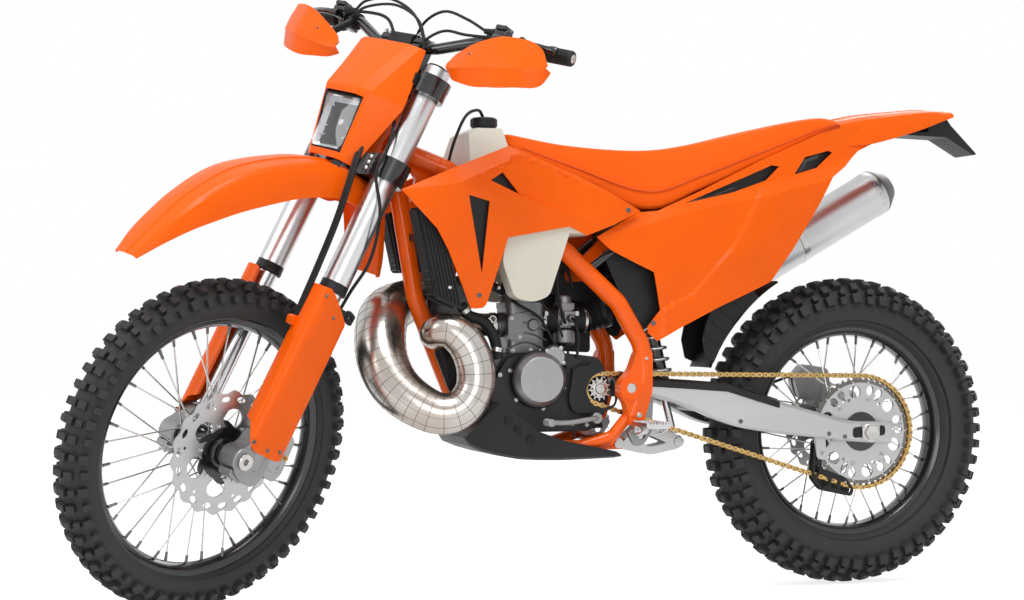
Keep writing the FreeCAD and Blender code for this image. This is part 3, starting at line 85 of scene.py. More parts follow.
def material(name, colour, rough, metal=0.0, grain=0.0, scale=900.0, vary=0.0, smudge=0.0, stretch=(1, 1, 1),
             coat=0.0, other=None, specular=0.5, broad=9.0):
    """A surface with fine grain in its bump, slow changes of colour and roughness that is never even."""
    made, nodes, links = nodes_of(name)
    shader = nodes["Principled BSDF"]
    for socket, value in (("Metallic", metal),
                          ("Roughness", rough), ("Base Color", (*colour, 1)), ("Coat Weight", coat),
                          ("Coat Roughness", COAT_ROUGHNESS), ("Specular IOR Level", specular)):
        shader.inputs[socket].default_value = value
    place = nodes.new("ShaderNodeTexCoord")
    mapping = nodes.new("ShaderNodeMapping")
    mapping.inputs["Scale"].default_value = stretch
    links.new(place.outputs["Object"], mapping.inputs["Vector"])
    slow = noise(nodes, links, mapping, broad, 5)
    if vary or other:
        ramp = nodes.new("ShaderNodeValToRGB")
        deep = other or tuple(part * (1 - vary) for part in colour)
        for element, tone, spot in zip(ramp.color_ramp.elements, (deep, colour), (RAMP_FOOT, RAMP_TOP)):
            element.color = (*tone, 1)
            element.position = spot
        links.new(slow.outputs["Fac"], ramp.inputs["Fac"])
        links.new(ramp.outputs["Color"], shader.inputs["Base Color"])
    if smudge:
        span = nodes.new("ShaderNodeMapRange")
        span.inputs["To Min"].default_value = max(0.02, rough - smudge)
        span.inputs["To Max"].default_value = min(1.0, rough + smudge)
        links.new(slow.outputs["Fac"], span.inputs["Value"])
        links.new(span.outputs["Result"], shader.inputs["Roughness"])
    if grain:
        fine = noise(nodes, links, mapping, scale, 3)
        bump = nodes.new("ShaderNodeBump")
        bump.inputs["Strength"].default_value = grain
        bump.inputs["Distance"].default_value = BUMP_DEPTH
        links.new(fine.outputs["Fac"], bump.inputs["Height"])
        links.new(bump.outputs["Normal"], shader.inputs["Normal"])
    return made


def glass(name):
    made = material(name, (0.96, 0.98, 1.0), 0.02, grain=0.02, scale=60, vary=0.03)
    shader = made.node_tree.nodes["Principled BSDF"]
    shader.inputs["Transmission Weight"].default_value = 1.0
    shader.inputs["IOR"].default_value = 1.45
    return made


ORANGE, DEEP_ORANGE = (1.0, 0.130, 0.0), (1.0, 0.125, 0.0)
MAT = {"orange": material("orange_plastic",
                          ORANGE, 0.34, grain=0.12, scale=1500, vary=0.05, smudge=0.07, specular=0.22),
       "orange_paint": material("orange_paint", DEEP_ORANGE,
                                0.22, grain=0.06, scale=700, vary=0.06, smudge=0.06, specular=0.34),
       "seat": material("seat_cover", DEEP_ORANGE, 0.66, grain=0.7, scale=2200, vary=0.06, smudge=0.06,
                        specular=0.2), "seat_dark": material("seat_welt", (0.80, 0.09, 0.0), 0.6,
                                                             grain=0.5, scale=1500, vary=0.1, smudge=0.05),
       "black": material("black_plastic", (0.013, 0.013, 0.014),
                         0.46, grain=0.35, scale=1400, vary=0.25, smudge=0.1, specular=0.3),
       "gloss_black": material("black_gloss", (0.010, 0.010, 0.011),
                               0.2, grain=0.06, scale=500, vary=0.2, smudge=0.08, coat=0.4),
       "void": material("shadowed_opening", (0.003, 0.003, 0.003), 0.8, grain=0.2, scale=500, vary=0.3,
                        smudge=0.05), "rubber": material("rubber", (0.012, 0.012, 0.012), 0.6, grain=0.3,
                                                         scale=1600, vary=0.3, smudge=0.1, specular=0.3),
       "tyre": material("tyre_rubber", (0.021, 0.021, 0.022),
                        0.66, grain=0.6, scale=800, vary=0.32, smudge=0.12, broad=26),
       "tank": material("tank_plastic",
                        (0.72, 0.68, 0.57), 0.36, grain=0.12, scale=900, vary=0.05, smudge=0.06, coat=0.1),
       "steel": material("steel",
                         (0.56, 0.55, 0.53), 0.26, 1.0, grain=0.12, scale=1500, vary=0.12, smudge=0.1),
       "dark_steel": material("dark_steel", (0.20, 0.19, 0.18), 0.34, 1.0, grain=0.2, scale=1200, vary=0.3,
                              smudge=0.12), "disc": material("brake_disc", (0.47, 0.47, 0.47), 0.34, 1.0,
                                                             grain=0.35, scale=500, vary=0.07, smudge=0.1),
       "chrome": material("polished_tube", (0.62, 0.62, 0.63),
                          0.2, 1.0, grain=0.02, scale=1500, vary=0.05, smudge=0.06, stretch=(1, 1, 0.05)),
       "silver": material("silver_tube",
                          (0.63, 0.63, 0.64), 0.3, 1.0, grain=0.3, scale=900, vary=0.06, smudge=0.08),
       "brushed": material("silencer_can", (0.56, 0.56, 0.57),
                           0.34, 1.0, grain=0.45, scale=500, vary=0.08, smudge=0.08, stretch=(1, 0.2, 1)),
       "alloy": material("brushed_alloy", (0.50, 0.50, 0.50),
                         0.38, 1.0, grain=0.5, scale=420, vary=0.06, smudge=0.08, stretch=(0.08, 1, 1)),
       "cast": material("cast_alloy", (0.31, 0.31, 0.31), 0.46, 1.0, grain=0.8, scale=800, vary=0.14,
                        smudge=0.1), "cast_dark": material("silencer_cap", (0.16, 0.155, 0.15), 0.44,
                                                           1.0, grain=0.4, scale=800, vary=0.2, smudge=0.1),
       "barrel": material("cylinder_casting",
                          (0.20, 0.20, 0.205), 0.42, 1.0, grain=0.6, scale=700, vary=0.2, smudge=0.1),
       "cover": material("machined_cover", (0.36, 0.36, 0.37), 0.36, 0.9, grain=0.35, scale=700, vary=0.06,
                         smudge=0.07), "case": material("crankcase", (0.030, 0.030, 0.032), 0.46,
                                                        0.6, grain=0.9, scale=700, vary=0.3, smudge=0.12),
       "pipe": material("pipe_steel", (0.52, 0.50, 0.475), 0.24, 1.0,
                        grain=0.22, scale=700, vary=0.1, smudge=0.1, other=(0.40, 0.335, 0.285), broad=6),
       "seam": material("weld_seam",
                        (0.15, 0.125, 0.11), 0.5, 1.0, grain=0.3, scale=900, vary=0.3, smudge=0.1),
       "gold": material("chain_gold", (0.62, 0.40, 0.14),
                        0.32, 1.0, grain=0.2, scale=900, vary=0.25, smudge=0.1, broad=60),
       "mirror": material("lamp_reflector",
                          (0.88, 0.89, 0.91), 0.3, 0.35, grain=0.1, scale=420, vary=0.04, smudge=0.05),
       "red": material("tail_lens", (0.35, 0.012, 0.008), 0.16, grain=0.2,
                       scale=300, vary=0.15, smudge=0.04, coat=0.5), "clear": glass("clear_lens"), }


# Shapes: plain vertex and face lists in the millimetres of one frame of reference

class Shape:
    def __init__(self):
        self.verts, self.faces = [], []

    def add(self, verts, faces):
        base = len(self.verts)
        self.verts += [Vector(vert) for vert in verts]
        self.faces += [tuple(base + index for index in face) for face in faces]
        return self

    def join(self, other):
        base = len(self.verts)
        self.verts += other.verts
        self.faces += [tuple(base + index for index in face) for face in other.faces]
        return self

    def moved(self, matrix):
        made = Shape()
        made.verts = [matrix @ vert for vert in self.verts]
        made.faces = [tuple(reversed(face))
                      for face in self.faces] if matrix.determinant() < 0 else list(self.faces)
        return made


def group(*shapes):
    made = Shape()
    for shape in shapes:
        made.join(shape)
    return made


def mirrored(*shapes):
    """Shapes of the left side and their likeness on the right."""
    left = group(*shapes)
    return group(left, left.moved(MIRROR))


def grid(rows, closed=True, capped=True):
    """Quads between rows of as many points; a closed row is a ring."""
    count = len(rows[0])
    faces = []
    for near in range(len(rows) - 1):
        for index in range(count if closed else count - 1):
            after = (index + 1) % count
            faces.append((near * count + index, near * count + after, (near + 1) * count + after,
                          (near + 1) * count + index))
    if capped and closed:
        faces.append(tuple(reversed(range(count))))
        faces.append(tuple((len(rows) - 1) * count + index for index in range(count)))
    return Shape().add([point for row in rows for point in row], faces)


def basis(direction):
    """Two unit vectors square to a direction and to each other."""
    direction = Vector(direction).normalized()
    across = direction.cross(UP if abs(direction.z) < 0.9 else AHEAD).normalized()
    return across, across.cross(direction).normalized()


def spline(points, steps=6):
    """A smooth line through points."""
    points = [Vector(point) for point in points]
    ends = [2 * points[0] - points[1]] + points + [2 * points[-1] - points[-2]]
    line = []
    for a, b, c, e in zip(ends, ends[1:], ends[2:], ends[3:]):
        for step in range(steps):
            t = step / steps
            line.append(0.5 * ((2 * b) + (c - a) * t + (2 * a - 5 * b + 4 * c - e) * t * t
                               + (3 * b - a - 3 * c + e) * t ** 3))
    return line + [points[-1]]


def rounded(points, bend):
    """Straight runs whose corners are arcs of eight steps."""
    steps = 8
    points = [Vector(point) for point in points]
    line = [points[0]]
    for before, corner, after in zip(points, points[1:], points[2:]):
        toward, away = (before - corner).normalized(), (after - corner).normalized()
        half = (math.pi - toward.angle(away)) / 2
        reach = min(bend * math.tan(half), 0.48 * (before - corner).length, 0.48 * (after - corner).length)
        if half < 0.03:
            line.append(corner)
            continue
        radius = reach / math.tan(half)
        middle = corner + (toward + away).normalized() * (radius / math.cos(half))
        start, stop = corner + toward * reach - middle, corner + away * reach - middle
        axis = start.cross(stop).normalized()
        for step in range(steps + 1):
            line.append(middle + Matrix.Rotation(2 * half * step / steps, 3, axis) @ start)
    return line + [points[-1]]


def sweep(line, radius, sides=16, flat=1.0):
    """A round bar on a line; radius may be one value or one for each point."""
    line = [Vector(point) for point in line]
    radii = radius if isinstance(radius, (list, tuple)) else [radius] * len(line)
    tangents = [(line[min(index + 1, len(line) - 1)] - line[max(index - 1, 0)]).normalized()
                for index in range(len(line))]
    across, up = basis(tangents[0])
    rows = []
    for index, (point, tangent) in enumerate(zip(line, tangents)):
        if index:
            across = (across - tangent * across.dot(tangent)).normalized()
            up = across.cross(tangent)
        rows.append([point + (across * math.cos(turn) + up * math.sin(turn) * flat) * radii[index]
                     for turn in (2 * math.pi * side / sides for side in range(sides))])
    return grid([row[::-1] for row in rows])


def tube(points, steps, radius, sides=16, flat=1.0):
    """A round bar on a smooth line through points."""
    return sweep(spline(points, steps), radius, sides, flat)


def lathe(profile, foot=(0, 0, 0), axis=UP, segs=48):
    """A turned piece; the profile is (radius, distance along the axis) corners from foot to top."""
    axis, foot = Vector(axis).normalized(), Vector(foot)
    across, up = basis(axis)
    rows = []
    for radius, rise in profile:
        radius = max(radius, 0.01)
        rows.append([foot + axis * rise + (across * math.cos(turn) - up * math.sin(turn)) * radius
                     for turn in (2 * math.pi * seg / segs for seg in range(segs))])
    return grid(rows)


def hoop(profile, segs=96, axis=ALONG, foot=(0, 0, 0)):
    """A closed ring; the profile is a loop of (radius, distance along the axis) corners."""
    axis, foot = Vector(axis).normalized(), Vector(foot)
    across, up = basis(axis)
    rows = []
    for seg in range(segs):
        turn = 2 * math.pi * seg / segs
        way = across * math.cos(turn) - up * math.sin(turn)
        rows.append([foot + axis * rise + way * radius for radius, rise in profile])
    count = len(profile)
    made = grid(rows, capped=False)
    last = (segs - 1) * count
    made.faces += [(last + index, last + (index + 1) % count, (index + 1) % count, index)
                   for index in range(count)]
    return made


def inside(point, loop):
    x, z = point
    hit = False
    for (x1, z1), (x2, z2) in zip(loop, loop[1:] + loop[:1]):
        if (z1 > z) != (z2 > z) and x < (x2 - x1) * (z - z1) / (z2 - z1) + x1:
            hit = not hit
    return hit


def circle(x, z, radius, count=20, squash=1.0, turn=0.0):
    return [(x + radius * math.cos(a) * math.cos(turn) - radius * squash * math.sin(a) * math.sin(turn),
             z + radius * math.cos(a) * math.sin(turn) + radius * squash * math.sin(a) * math.cos(turn))
            for a in (2 * math.pi * index / count for index in range(count))]


def soft_loop(points, reach=8.0, steps=4):
    """An outline with its corners rounded, over a reach to each side of the corner."""
    line = []
    count = len(points)
    for index in range(count):
        before, corner, after = (Vector((*points[(index + shift) % count], 0)) for shift in (-1, 0, 1))
        cut = min(reach, 0.42 * (before - corner).length, 0.42 * (after - corner).length)
        start = corner + (before - corner).normalized() * cut
        stop = corner + (after - corner).normalized() * cut
        for step in range(steps + 1):
            t = step / steps
            spot = start * (1 - t) ** 2 + corner * 2 * t * (1 - t) + stop * t * t
            line.append((spot.x, spot.y))
    return line


def scaled(loop, share):
    """A loop grown or shrunk about the mean of its corners."""
    x0, z0 = sum(x for x, z in loop) / len(loop), sum(z for x, z in loop) / len(loop)
    return [(x0 + (x - x0) * share, z0 + (z - z0) * share) for x, z in loop]


def mixed(value, points, past=0.2):
    """A height or width read off a line of (at, value) points, and a little past its ends."""
    ordered = sorted(points)
    for (a, at_a), (b, at_b) in zip(ordered, ordered[1:]):
        if value <= b or b == ordered[-1][0]:
            share = (value - a) / (b - a)
            return at_a + (at_b - at_a) * min(1 + past, max(-past, share))


def clamped(value):
    return min(1.0, max(0.0, value))


def divided(line, step):
    """A line with its long runs cut into steps."""
    points = []
    for (x1, z1), (x2, z2) in zip(line, line[1:]):
        parts = max(1, int(math.hypot(x2 - x1, z2 - z1) / step))
        points += [(x1 + (x2 - x1) * part / parts, z1 + (z2 - z1) * part / parts) for part in range(parts)]
    return points


def tiles(outline, holes=(), creases=(), step=None):
    """Triangles that fill an outline round its holes, with rows of edges along the creases."""
    verts, edges = [], []
    for loop in [outline] + list(holes):
        loop = divided(loop + loop[:1], step or math.inf)
        base = len(verts)
        verts += loop
        edges += [(base + index, base + (index + 1) % len(loop)) for index in range(len(loop))]
    for crease in creases:
        base = len(verts)
        line = divided(crease, step) + crease[-1:]
        verts += line
        edges += [(base + index, base + index + 1) for index in range(len(line) - 1)]
    if step:
        xs, zs = [x for x, z in outline], [z for x, z in outline]
        row = 0
        z = min(zs) + 0.5 * step
        while z < max(zs):
            x = min(xs) + (0.5 if row % 2 else 0.0) * step
            while x < max(xs):
                if inside((x, z), outline) and not any(inside((x, z), hole) for hole in holes):
                    verts.append((x, z))
                x += step
            z += 0.87 * step
            row += 1
    spots, _, faces = delaunay_2d_cdt([Vector(vert) for vert in verts], edges, [], 0, 1e-4)[:3]
    kept = []
    for face in faces:
        middle = sum((spots[index] for index in face), Vector((0, 0))) / len(face)
        if inside(middle, outline) and not any(inside(middle, hole) for hole in holes):
            kept.append(tuple(face))
    return [tuple(spot) for spot in spots], kept


def panel(outline, surface, thick, holes=(), creases=(), step=14.0):
    """A curved sheet: its outline is in X and Z, surface(x, z) gives Y, and it thickens inwards."""
    spots, faces = tiles(outline, holes, creases, step)
    used = sorted({index for face in faces for index in face})
    place = {index: count for count, index in enumerate(used)}
    outer = [Vector((spots[index][0], surface(*spots[index]), spots[index][1])) for index in used]
    faces = [tuple(place[index] for index in face) for face in faces]
    side = 1 if outer[0].y > 0 else -1
    normals = [Vector() for point in outer]
    fixed = []
    for face in faces:
        a, b, c = (outer[index] for index in face[:3])
        normal = (b - a).cross(c - a)
        if normal.y * side < 0:
            face = tuple(reversed(face))
            normal = -normal
        fixed.append(face)
        for index in face:
            normals[index] += normal
    inner = [point - normal.normalized() * thick for point, normal in zip(outer, normals)]
    count = len(outer)
    borders = {}
    for face in fixed:
        for start, stop in zip(face, face[1:] + face[:1]):
            borders[(start, stop)] = borders.get((start, stop), 0) + 1
    rim = [(start, stop) for start, stop in borders if (stop, start) not in borders]
    shell = fixed + [tuple(count + index for index in reversed(face)) for face in fixed]
    shell += [(stop, start, count + start, count + stop) for start, stop in rim]
    return Shape().add(outer + inner, shell)


def plate(outline, near, far, holes=()):
    """A flat plate square to Y."""
    spots, faces = tiles(outline, holes)
    count = len(spots)
    fixed, borders = [], set()
    for face in faces:
        (ax, az), (bx, bz), (cx, cz) = (spots[index] for index in face[:3])
        if (bx - ax) * (cz - az) - (bz - az) * (cx - ax) > 0:
            face = tuple(reversed(face))
        fixed.append(face)
        borders.update(zip(face, face[1:] + face[:1]))
    rim = [(start, stop) for start, stop in borders if (stop, start) not in borders]
    shell = [tuple(count + index for index in face)
             for face in fixed] + [tuple(reversed(face)) for face in fixed]
    shell += [(stop, start, start + count, stop + count)[::-1] for start, stop in rim]
    low, high = min(near, far), max(near, far)
    verts = [(x, low, z) for x, z in spots] + [(x, high, z) for x, z in spots]
    return Shape().add(verts, shell)


def soft_plate(points, reach, near, far, holes=(), steps=4):
    """A flat sheet with rounded corners."""
    return plate(soft_loop(points, reach, steps), near, far, holes)


def closed_section(x, half):
    """A ring at x from its left half: (y, z) points that begin and end on the middle line."""
    return [(x, y, z) for y, z in half] + [(x, -y, z) for y, z in half[-2:0:-1]]


def block(corner, other):
    (x1, x2), (y1, y2), (z1, z2) = (sorted(pair) for pair in zip(corner, other))
    return grid([[(x1, y1, z), (x2, y1, z), (x2, y2, z), (x1, y2, z)] for z in (z1, z2)])


def bolt(foot, axis, radius=4.0, high=4.0):
    """A hexagon head on a washer, with a socket in it."""
    rim = 1.45 * radius
    head = Vector(foot) + Vector(axis).normalized()
    return group(lathe([(rim, 0), (rim, 0.8), (rim - 0.3, 1.1)], foot, axis, 20),
                 lathe([(radius, 0), (radius, high - 0.8), (radius - 0.8, high), (0.55 * radius, high),
                        (0.5 * radius, 0.5 * high)], head, axis, 6))


def make(name, shape, place, body, mat, stands_for=(), angle=32, bevel=0.0, segments=2, slot=None):
    """A Blender object from a shape, riding on a body, for a CAD node. The slot argument is not used."""
    mesh = bpy.data.meshes.new(name)
    mesh.from_pydata([place @ vert for vert in shape.verts], [], shape.faces)
    obj = bpy.data.objects.new(name, mesh)
    bpy.context.collection.objects.link(obj)
    mesh.materials.append(MAT[mat])
    work = bmesh.new()
    work.from_mesh(mesh)
    bmesh.ops.remove_doubles(work, verts=work.verts, dist=2e-6)
    bmesh.ops.recalc_face_normals(work, faces=work.faces)
    work.to_mesh(mesh)
    work.free()
    mesh.polygons.foreach_set("use_smooth", [True] * len(mesh.polygons))
    mesh.set_sharp_from_angle(angle=math.radians(angle))
    if bevel:
        edge = obj.modifiers.new("Bevel", "BEVEL")
        edge.width = bevel / 1000
        edge.segments = segments
        edge.limit_method = "ANGLE"
        edge.angle_limit = math.radians(angle)
        edge.harden_normals = False
        edge.use_clamp_overlap = True
        if "sharp_edge" in mesh.attributes:
            mesh.attributes.remove(mesh.attributes["sharp_edge"])
        even = obj.modifiers.new("Normals", "WEIGHTED_NORMAL")
        even.keep_sharp = False
    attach(obj, body)
    if stands_for:
        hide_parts(stands_for)
    return obj


# Wheels

def wheel_surface(centre_r, half, rise, lateral, lift=0.0):
    """A point over the tyre's carcass at a lateral angle, as (radius, y)."""
    radius, y = centre_r + rise * math.cos(lateral), half * math.sin(lateral)
    out = Vector((math.cos(lateral) / rise, math.sin(lateral) / half)).normalized()
    return Vector((radius, y)) + out * lift


def knob(angle, lateral, wide, long, high, carcass):
    """A tread block: a tapered pad whose foot is sunk into the carcass."""
    half, rise = carcass[1:]
    arc = math.hypot(rise * math.sin(lateral), half * math.cos(lateral))
    verts = []
    for lift, share in ((-3.0, 1.06), (high - 1.2, 0.90), (high, 0.84)):
        for along, across in ((-1, -1), (1, -1), (1, 1), (-1, 1)):
            at = lateral + across * 0.5 * wide * share / arc
            radius, y = wheel_surface(*carcass, at, lift)
            turn = angle + along * 0.5 * long * share / max(radius, 1)
            verts.append((radius * math.cos(turn), y, radius * math.sin(turn)))
    faces = [(0, 1, 5, 4), (1, 2, 6, 5), (2, 3, 7, 6), (3, 0, 4, 7), (4, 5, 9, 8), (5, 6, 10, 9),
             (6, 7, 11, 10), (7, 4, 8, 11), (8, 9, 10, 11), (3, 2, 1, 0)]
    return Shape().add(verts, faces)


def tyre(name, node, place, body, bead, bead_half, carcass, high, pitches, rows):
    centre_r, half, rise = carcass
    profile = [tuple(wheel_surface(*carcass, math.radians(9.5 * step))) for step in range(-9, 10)]
    side = [(centre_r - 0.25 * (centre_r - bead), 0.985 * half),
            (centre_r - 0.5 * (centre_r - bead), 0.91 * half), (bead + 22, 0.5 * (half + bead_half) + 5),
            (bead + 19, 0.5 * (half + bead_half) + 5.5), (bead + 15, 0.5 * (half + bead_half) + 3),
            (bead + 7, bead_half + 5), (bead + 3, bead_half + 3)]
    profile += side + [(bead + 6, bead_half - 6),
                       (centre_r - 5, 0.8 * half), (centre_r + 0.7 * rise, 0), (centre_r - 5, -0.8 * half),
                       (bead + 6, 6 - bead_half)] + [(r, -y) for r, y in side[::-1]]
    shape = hoop(profile, 144)
    blocks = Shape()
    for pitch in range(pitches):
        angle = 2 * math.pi * pitch / pitches
        for shift, lateral, wide, long in rows[pitch % 2]:
            wander = random.uniform(-0.004, 0.004)
            for turn in {lateral, -lateral}:
                blocks.join(knob(angle + shift * 2 * math.pi / pitches + wander, math.radians(turn), wide,
                                 long, high, carcass))
    make(name, shape, place, body, "tyre", node, angle=50)
    make(name + "_blocks", blocks, place, body, "tyre", angle=20, bevel=1.3, segments=1)


def rim(name, node, place, body, bead, half):
    profile = [(bead + 12, half + 4.2), (bead + 11, half + 6.4), (bead + 6, half + 6.8),
               (bead + 1, half + 4.4), (bead - 3, half + 2.2), (bead - 7, half - 3), (bead - 11, half - 9),
               (bead - 12.5, 0.25 * half), (bead - 13.5, 0)]
    back = [(bead - 9.5, 0.2 * half), (bead - 8, half - 9), (bead - 2, half - 2), (bead + 10, half + 2.5)]
    loop = profile + [(r, -y) for r, y in profile[-2::-1]] + [(r, -y) for r, y in back[::-1]] + back
    shape = hoop(loop, 144)
    make(name, shape, place, body, "gloss_black", node, angle=24)


def spokes(name, place, body, hole_r, flange_y, rim_r):
    wires, nipples = Shape(), Shape()
    for index in range(36):
        side = 1 if index % 2 == 0 else -1
        lean = 1 if (index // 2) % 2 == 0 else -1
        at_rim = 2 * math.pi * index / 36 - math.pi / 2
        at_hub = at_rim - lean * math.radians(60)
        apart = 2.6 * lean
        start = Vector((hole_r * math.cos(at_hub), side * flange_y + apart, hole_r * math.sin(at_hub)))
        stop = Vector((rim_r * math.cos(at_rim), side * 6 + apart, rim_r * math.sin(at_rim)))
        way = (stop - start).normalized()
        inward = Vector((0, -math.copysign(1, apart), 0))
        wires.join(sweep([start + inward * 7, start + inward * 1.5, start + way * 4, stop], 1.75, 8))
        nipples.join(lathe([(2.6, -17), (3.1, -16), (3.1, -6), (3.6, -3), (3.6, 2)], stop, way, 10))
    make(name, wires, place, body, "steel")
    make(name + "_nipples", nipples, place, body, "dark_steel")


def wave(radius, depth, waves, count, phase=0.0):
    """A round outline that dips between its waves."""
    outline = []
    for index in range(count):
        a = 2 * math.pi * index / count
        here = radius - depth * (0.5 - 0.5 * math.cos(waves * a + phase))
        outline.append((here * math.cos(a), here * math.sin(a)))
    return outline


def ring_holes(radius, hole_r, count, squash=1.0, phase=0.0, sides=16):
    holes = []
    for index in range(count):
        a = 2 * math.pi * index / count + phase
        holes.append(circle(radius * math.cos(a), radius * math.sin(a), hole_r, sides, squash, a))
    return holes


def brake_disc(name, node, place, body, radius, near, far, inner):
    """A disc with a waved rim, six windows and small slots. Its holes are shares of its radius."""
    holes = [circle(0, 0, inner, 40)]
    holes += ring_holes(0.555 * radius, 0.155 * radius, 6, 1.15, math.radians(15), 24)
    holes += ring_holes(0.86 * radius, 0.047 * radius, 18, 1.75, 0.0)
    holes += ring_holes(0.765 * radius, 0.03 * radius, 6, 1.0, math.radians(45), 12)
    outline = wave(radius, 0.055 * radius, 18, 216, math.pi)
    make(name, plate(outline, near, far, holes), place, body, "disc", node, angle=30, bevel=0.5, segments=1)


def hub(name, node, place, body, profile, studs_at, bolts_at):
    """A turned hub with a ring of round studs (y, radius, count, size, side) and six bolts (y, radius)."""
    make(name, lathe(profile, axis=ALONG, segs=64), place, body, "gloss_black", node, angle=28, bevel=0.8)
    studs = Shape()
    y, radius, count, size, way = studs_at
    for index in range(count):
        a = 2 * math.pi * (index + 0.5) / count
        foot = (radius * math.cos(a), y, radius * math.sin(a))
        studs.join(lathe([(size, 0), (size, 1.4), (0.6 * size, 2.2)], foot, (0, way, 0), 12))
    y, radius = bolts_at
    for index in range(6):
        a = 2 * math.pi * index / 6 + math.radians(45)
        studs.join(bolt((radius * math.cos(a), y, radius * math.sin(a)), ALONG, 3.6, 4))
    make(name + "_studs", studs, place, body, "steel", angle=30)


def front_wheel():
    place, body = FRONT, "front_wheel"
    carcass = (293, 39.5, 43)
    rows = ([(0, 10, 15, 17), (0, 62, 17, 19), (0.02, 36, 12, 14)],
            [(0, 0, 20, 15), (0, 29, 15, 17), (0, 66, 14, 15)])
    tyre("front_tyre_shown", "front_tyre", place, body, 262, 17, carcass, 12.6, 60, rows)
    rim("front_rim_shown", "front_rim", place, body, 262, 17)
    spokes("front_spokes", place, body, 35, 35.5, 249)
    profile = [(13.2, -79.4), (20, -79.4), (20, -52), (24, -47), (31, -44), (38.5, -39.5), (39.5, -38),
               (39.5, -33.5), (38, -32.5), (28, -30), (24.5, -25), (23.5, -10), (23.5, 10), (24.5, 25),
               (28, 30), (38, 32.5), (39.5, 33.5), (39.5, 38), (42, 42), (46, 47), (54, 56), (55, 58),
               (55, 60), (31, 60.2), (31, 64), (26, 66.5), (20, 67), (20, 72), (22, 73), (22, 76), (20, 77),
               (20, 79.4), (13.2, 79.4)]
    hub("front_hub_shown", "front_hub", place, body, profile, (-39.5, 35, 18, 2.2, -1), (63.5, 60))
    brake_disc("front_disc_shown", "front_disc", place, body, 130, 60, 63.5, 55.2)
    carrier = plate(wave(68, 12, 6, 120, 0.0), 56.5, 60,
                    ring_holes(47, 2.4, 12, 1.0, 0.0, 10) + [circle(0, 0, 21, 36)])
    make("front_disc_carrier", carrier, place, body, "gloss_black", bevel=0.5)


def rear_wheel():
    place, body = REAR, "rear_wheel"
    carcass = (277, 58, 58.4)
    rows = ([(0, 11, 19, 21), (0, 68, 20, 23), (0.0, 42, 18, 18)],
            [(0, 0, 26, 18), (0, 29, 19, 20), (0, 72, 17, 17), (0.05, 54, 12, 15)])
    tyre("rear_tyre_shown", "rear_tyre", place, body, 229, 25.5, carcass, 14.6, 56, rows)
    rim("rear_rim_shown", "rear_rim", place, body, 229, 25.5)
    spokes("rear_spokes", place, body, 48, 46, 216)
    profile = [(12.8, -91.6), (19.5, -91.6), (19.5, -80), (34, -79.5), (34, -56), (38, -53), (51, -51.5),
               (53.5, -49), (53.5, -43), (51, -41.5), (40, -38), (35, -32), (33.5, -15), (33.5, 15),
               (35, 32), (40, 38), (51, 41.5), (53.5, 43), (53.5, 49), (60, 56), (66, 64), (67, 66),
               (67, 75), (44, 75.2), (44, 82), (38, 84), (24, 84.5), (19.5, 86), (19.5, 91.6), (12.8, 91.6)]
    hub("rear_hub_shown", "rear_hub", place, body, profile, (75.2, 52, 12, 2.0, 1), (81, 75))
    brake_disc("rear_disc_shown", "rear_disc", place, body, 110, -79.5, -76, 34.3)
    sprocket()


def sprocket():
    """Fifty teeth under the chain's rollers, an aluminium ring with organic windows, and a steel crown."""
    teeth, root, tip = 50, 117.5, 124.5
    outline = []
    for index in range(teeth):
        for share, radius in ((0.0, root), (0.25, root + 1.5), (0.42, tip), (0.58, tip), (0.75, root + 1.5)):
            a = 2 * math.pi * (index + share) / teeth
            outline.append((radius * math.cos(a), radius * math.sin(a)))
    crown = plate(outline, 76.6, 79.4, [circle(0, 0, 109, 96)])
    make("sprocket_crown", crown, REAR, "rear_wheel", "dark_steel", angle=40)
    holes = [circle(0, 0, 44.4, 60)]
    for index in range(6):
        a = 2 * math.pi * index / 6 + math.radians(20)
        for shift, radius, size, squash in ((0.0, 90, 15, 1.0), (0.42, 95, 11.5, 0.8),
                                            (-0.38, 96, 10.5, 0.85), (0.66, 82, 5.2, 1.0),
                                            (-0.24, 76, 4.2, 1.0)):
            holes.append(circle(radius * math.cos(a + shift), radius * math.sin(a + shift), size, 18,
                                squash, a + shift))
    ring = plate(circle(0, 0, 110.5, 120), 75.2, 80.8, holes)
    make("sprocket_ring", ring, REAR, "rear_wheel", "alloy", "rear_sprocket", angle=40, bevel=0.8)
    rivets = Shape()
    for index in range(18):
        a = 2 * math.pi * index / 18
        rivets.join(lathe([(2.4, 0), (2.2, 1.0), (1.0, 1.5)],
                          (112.5 * math.cos(a), 79.4, 112.5 * math.sin(a)), ALONG, 10))
    make("sprocket_rivets", rivets, REAR, "rear_wheel", "steel")


front_wheel()
rear_wheel()


# More shapes

def leaf(rows, thick):
    """A curved sheet through an open grid of points, thickened to one side."""
    rows = [[Vector(point) for point in row] for row in rows]
    count, last = len(rows[0]), len(rows) - 1
    inner = []
    for near, row in enumerate(rows):
        line = []
        for index, point in enumerate(row):
            along = rows[min(near + 1, last)][index] - rows[max(near - 1, 0)][index]
            across = row[min(index + 1, count - 1)] - row[max(index - 1, 0)]
            line.append(point - along.cross(across).normalized() * thick)
        inner.append(line)
    made = grid(rows, closed=False, capped=False).join(grid(inner, closed=False, capped=False))
    loop = [near * count for near in range(last)] + [last * count + index for index in range(count - 1)]
    loop += [near * count + count - 1 for near in range(last, 0, -1)] + list(range(count - 1, 0, -1))
    base = (last + 1) * count
    made.faces += [(start, stop, base + stop, base + start) for start, stop in zip(loop, loop[1:] + loop[:1])]
    return made


def laid(shape):
    """A shape drawn square to Y, laid down square to Z."""
    made = Shape().join(shape)
    made.verts = [Vector((vert.x, vert.z, vert.y)) for vert in shape.verts]
    return made


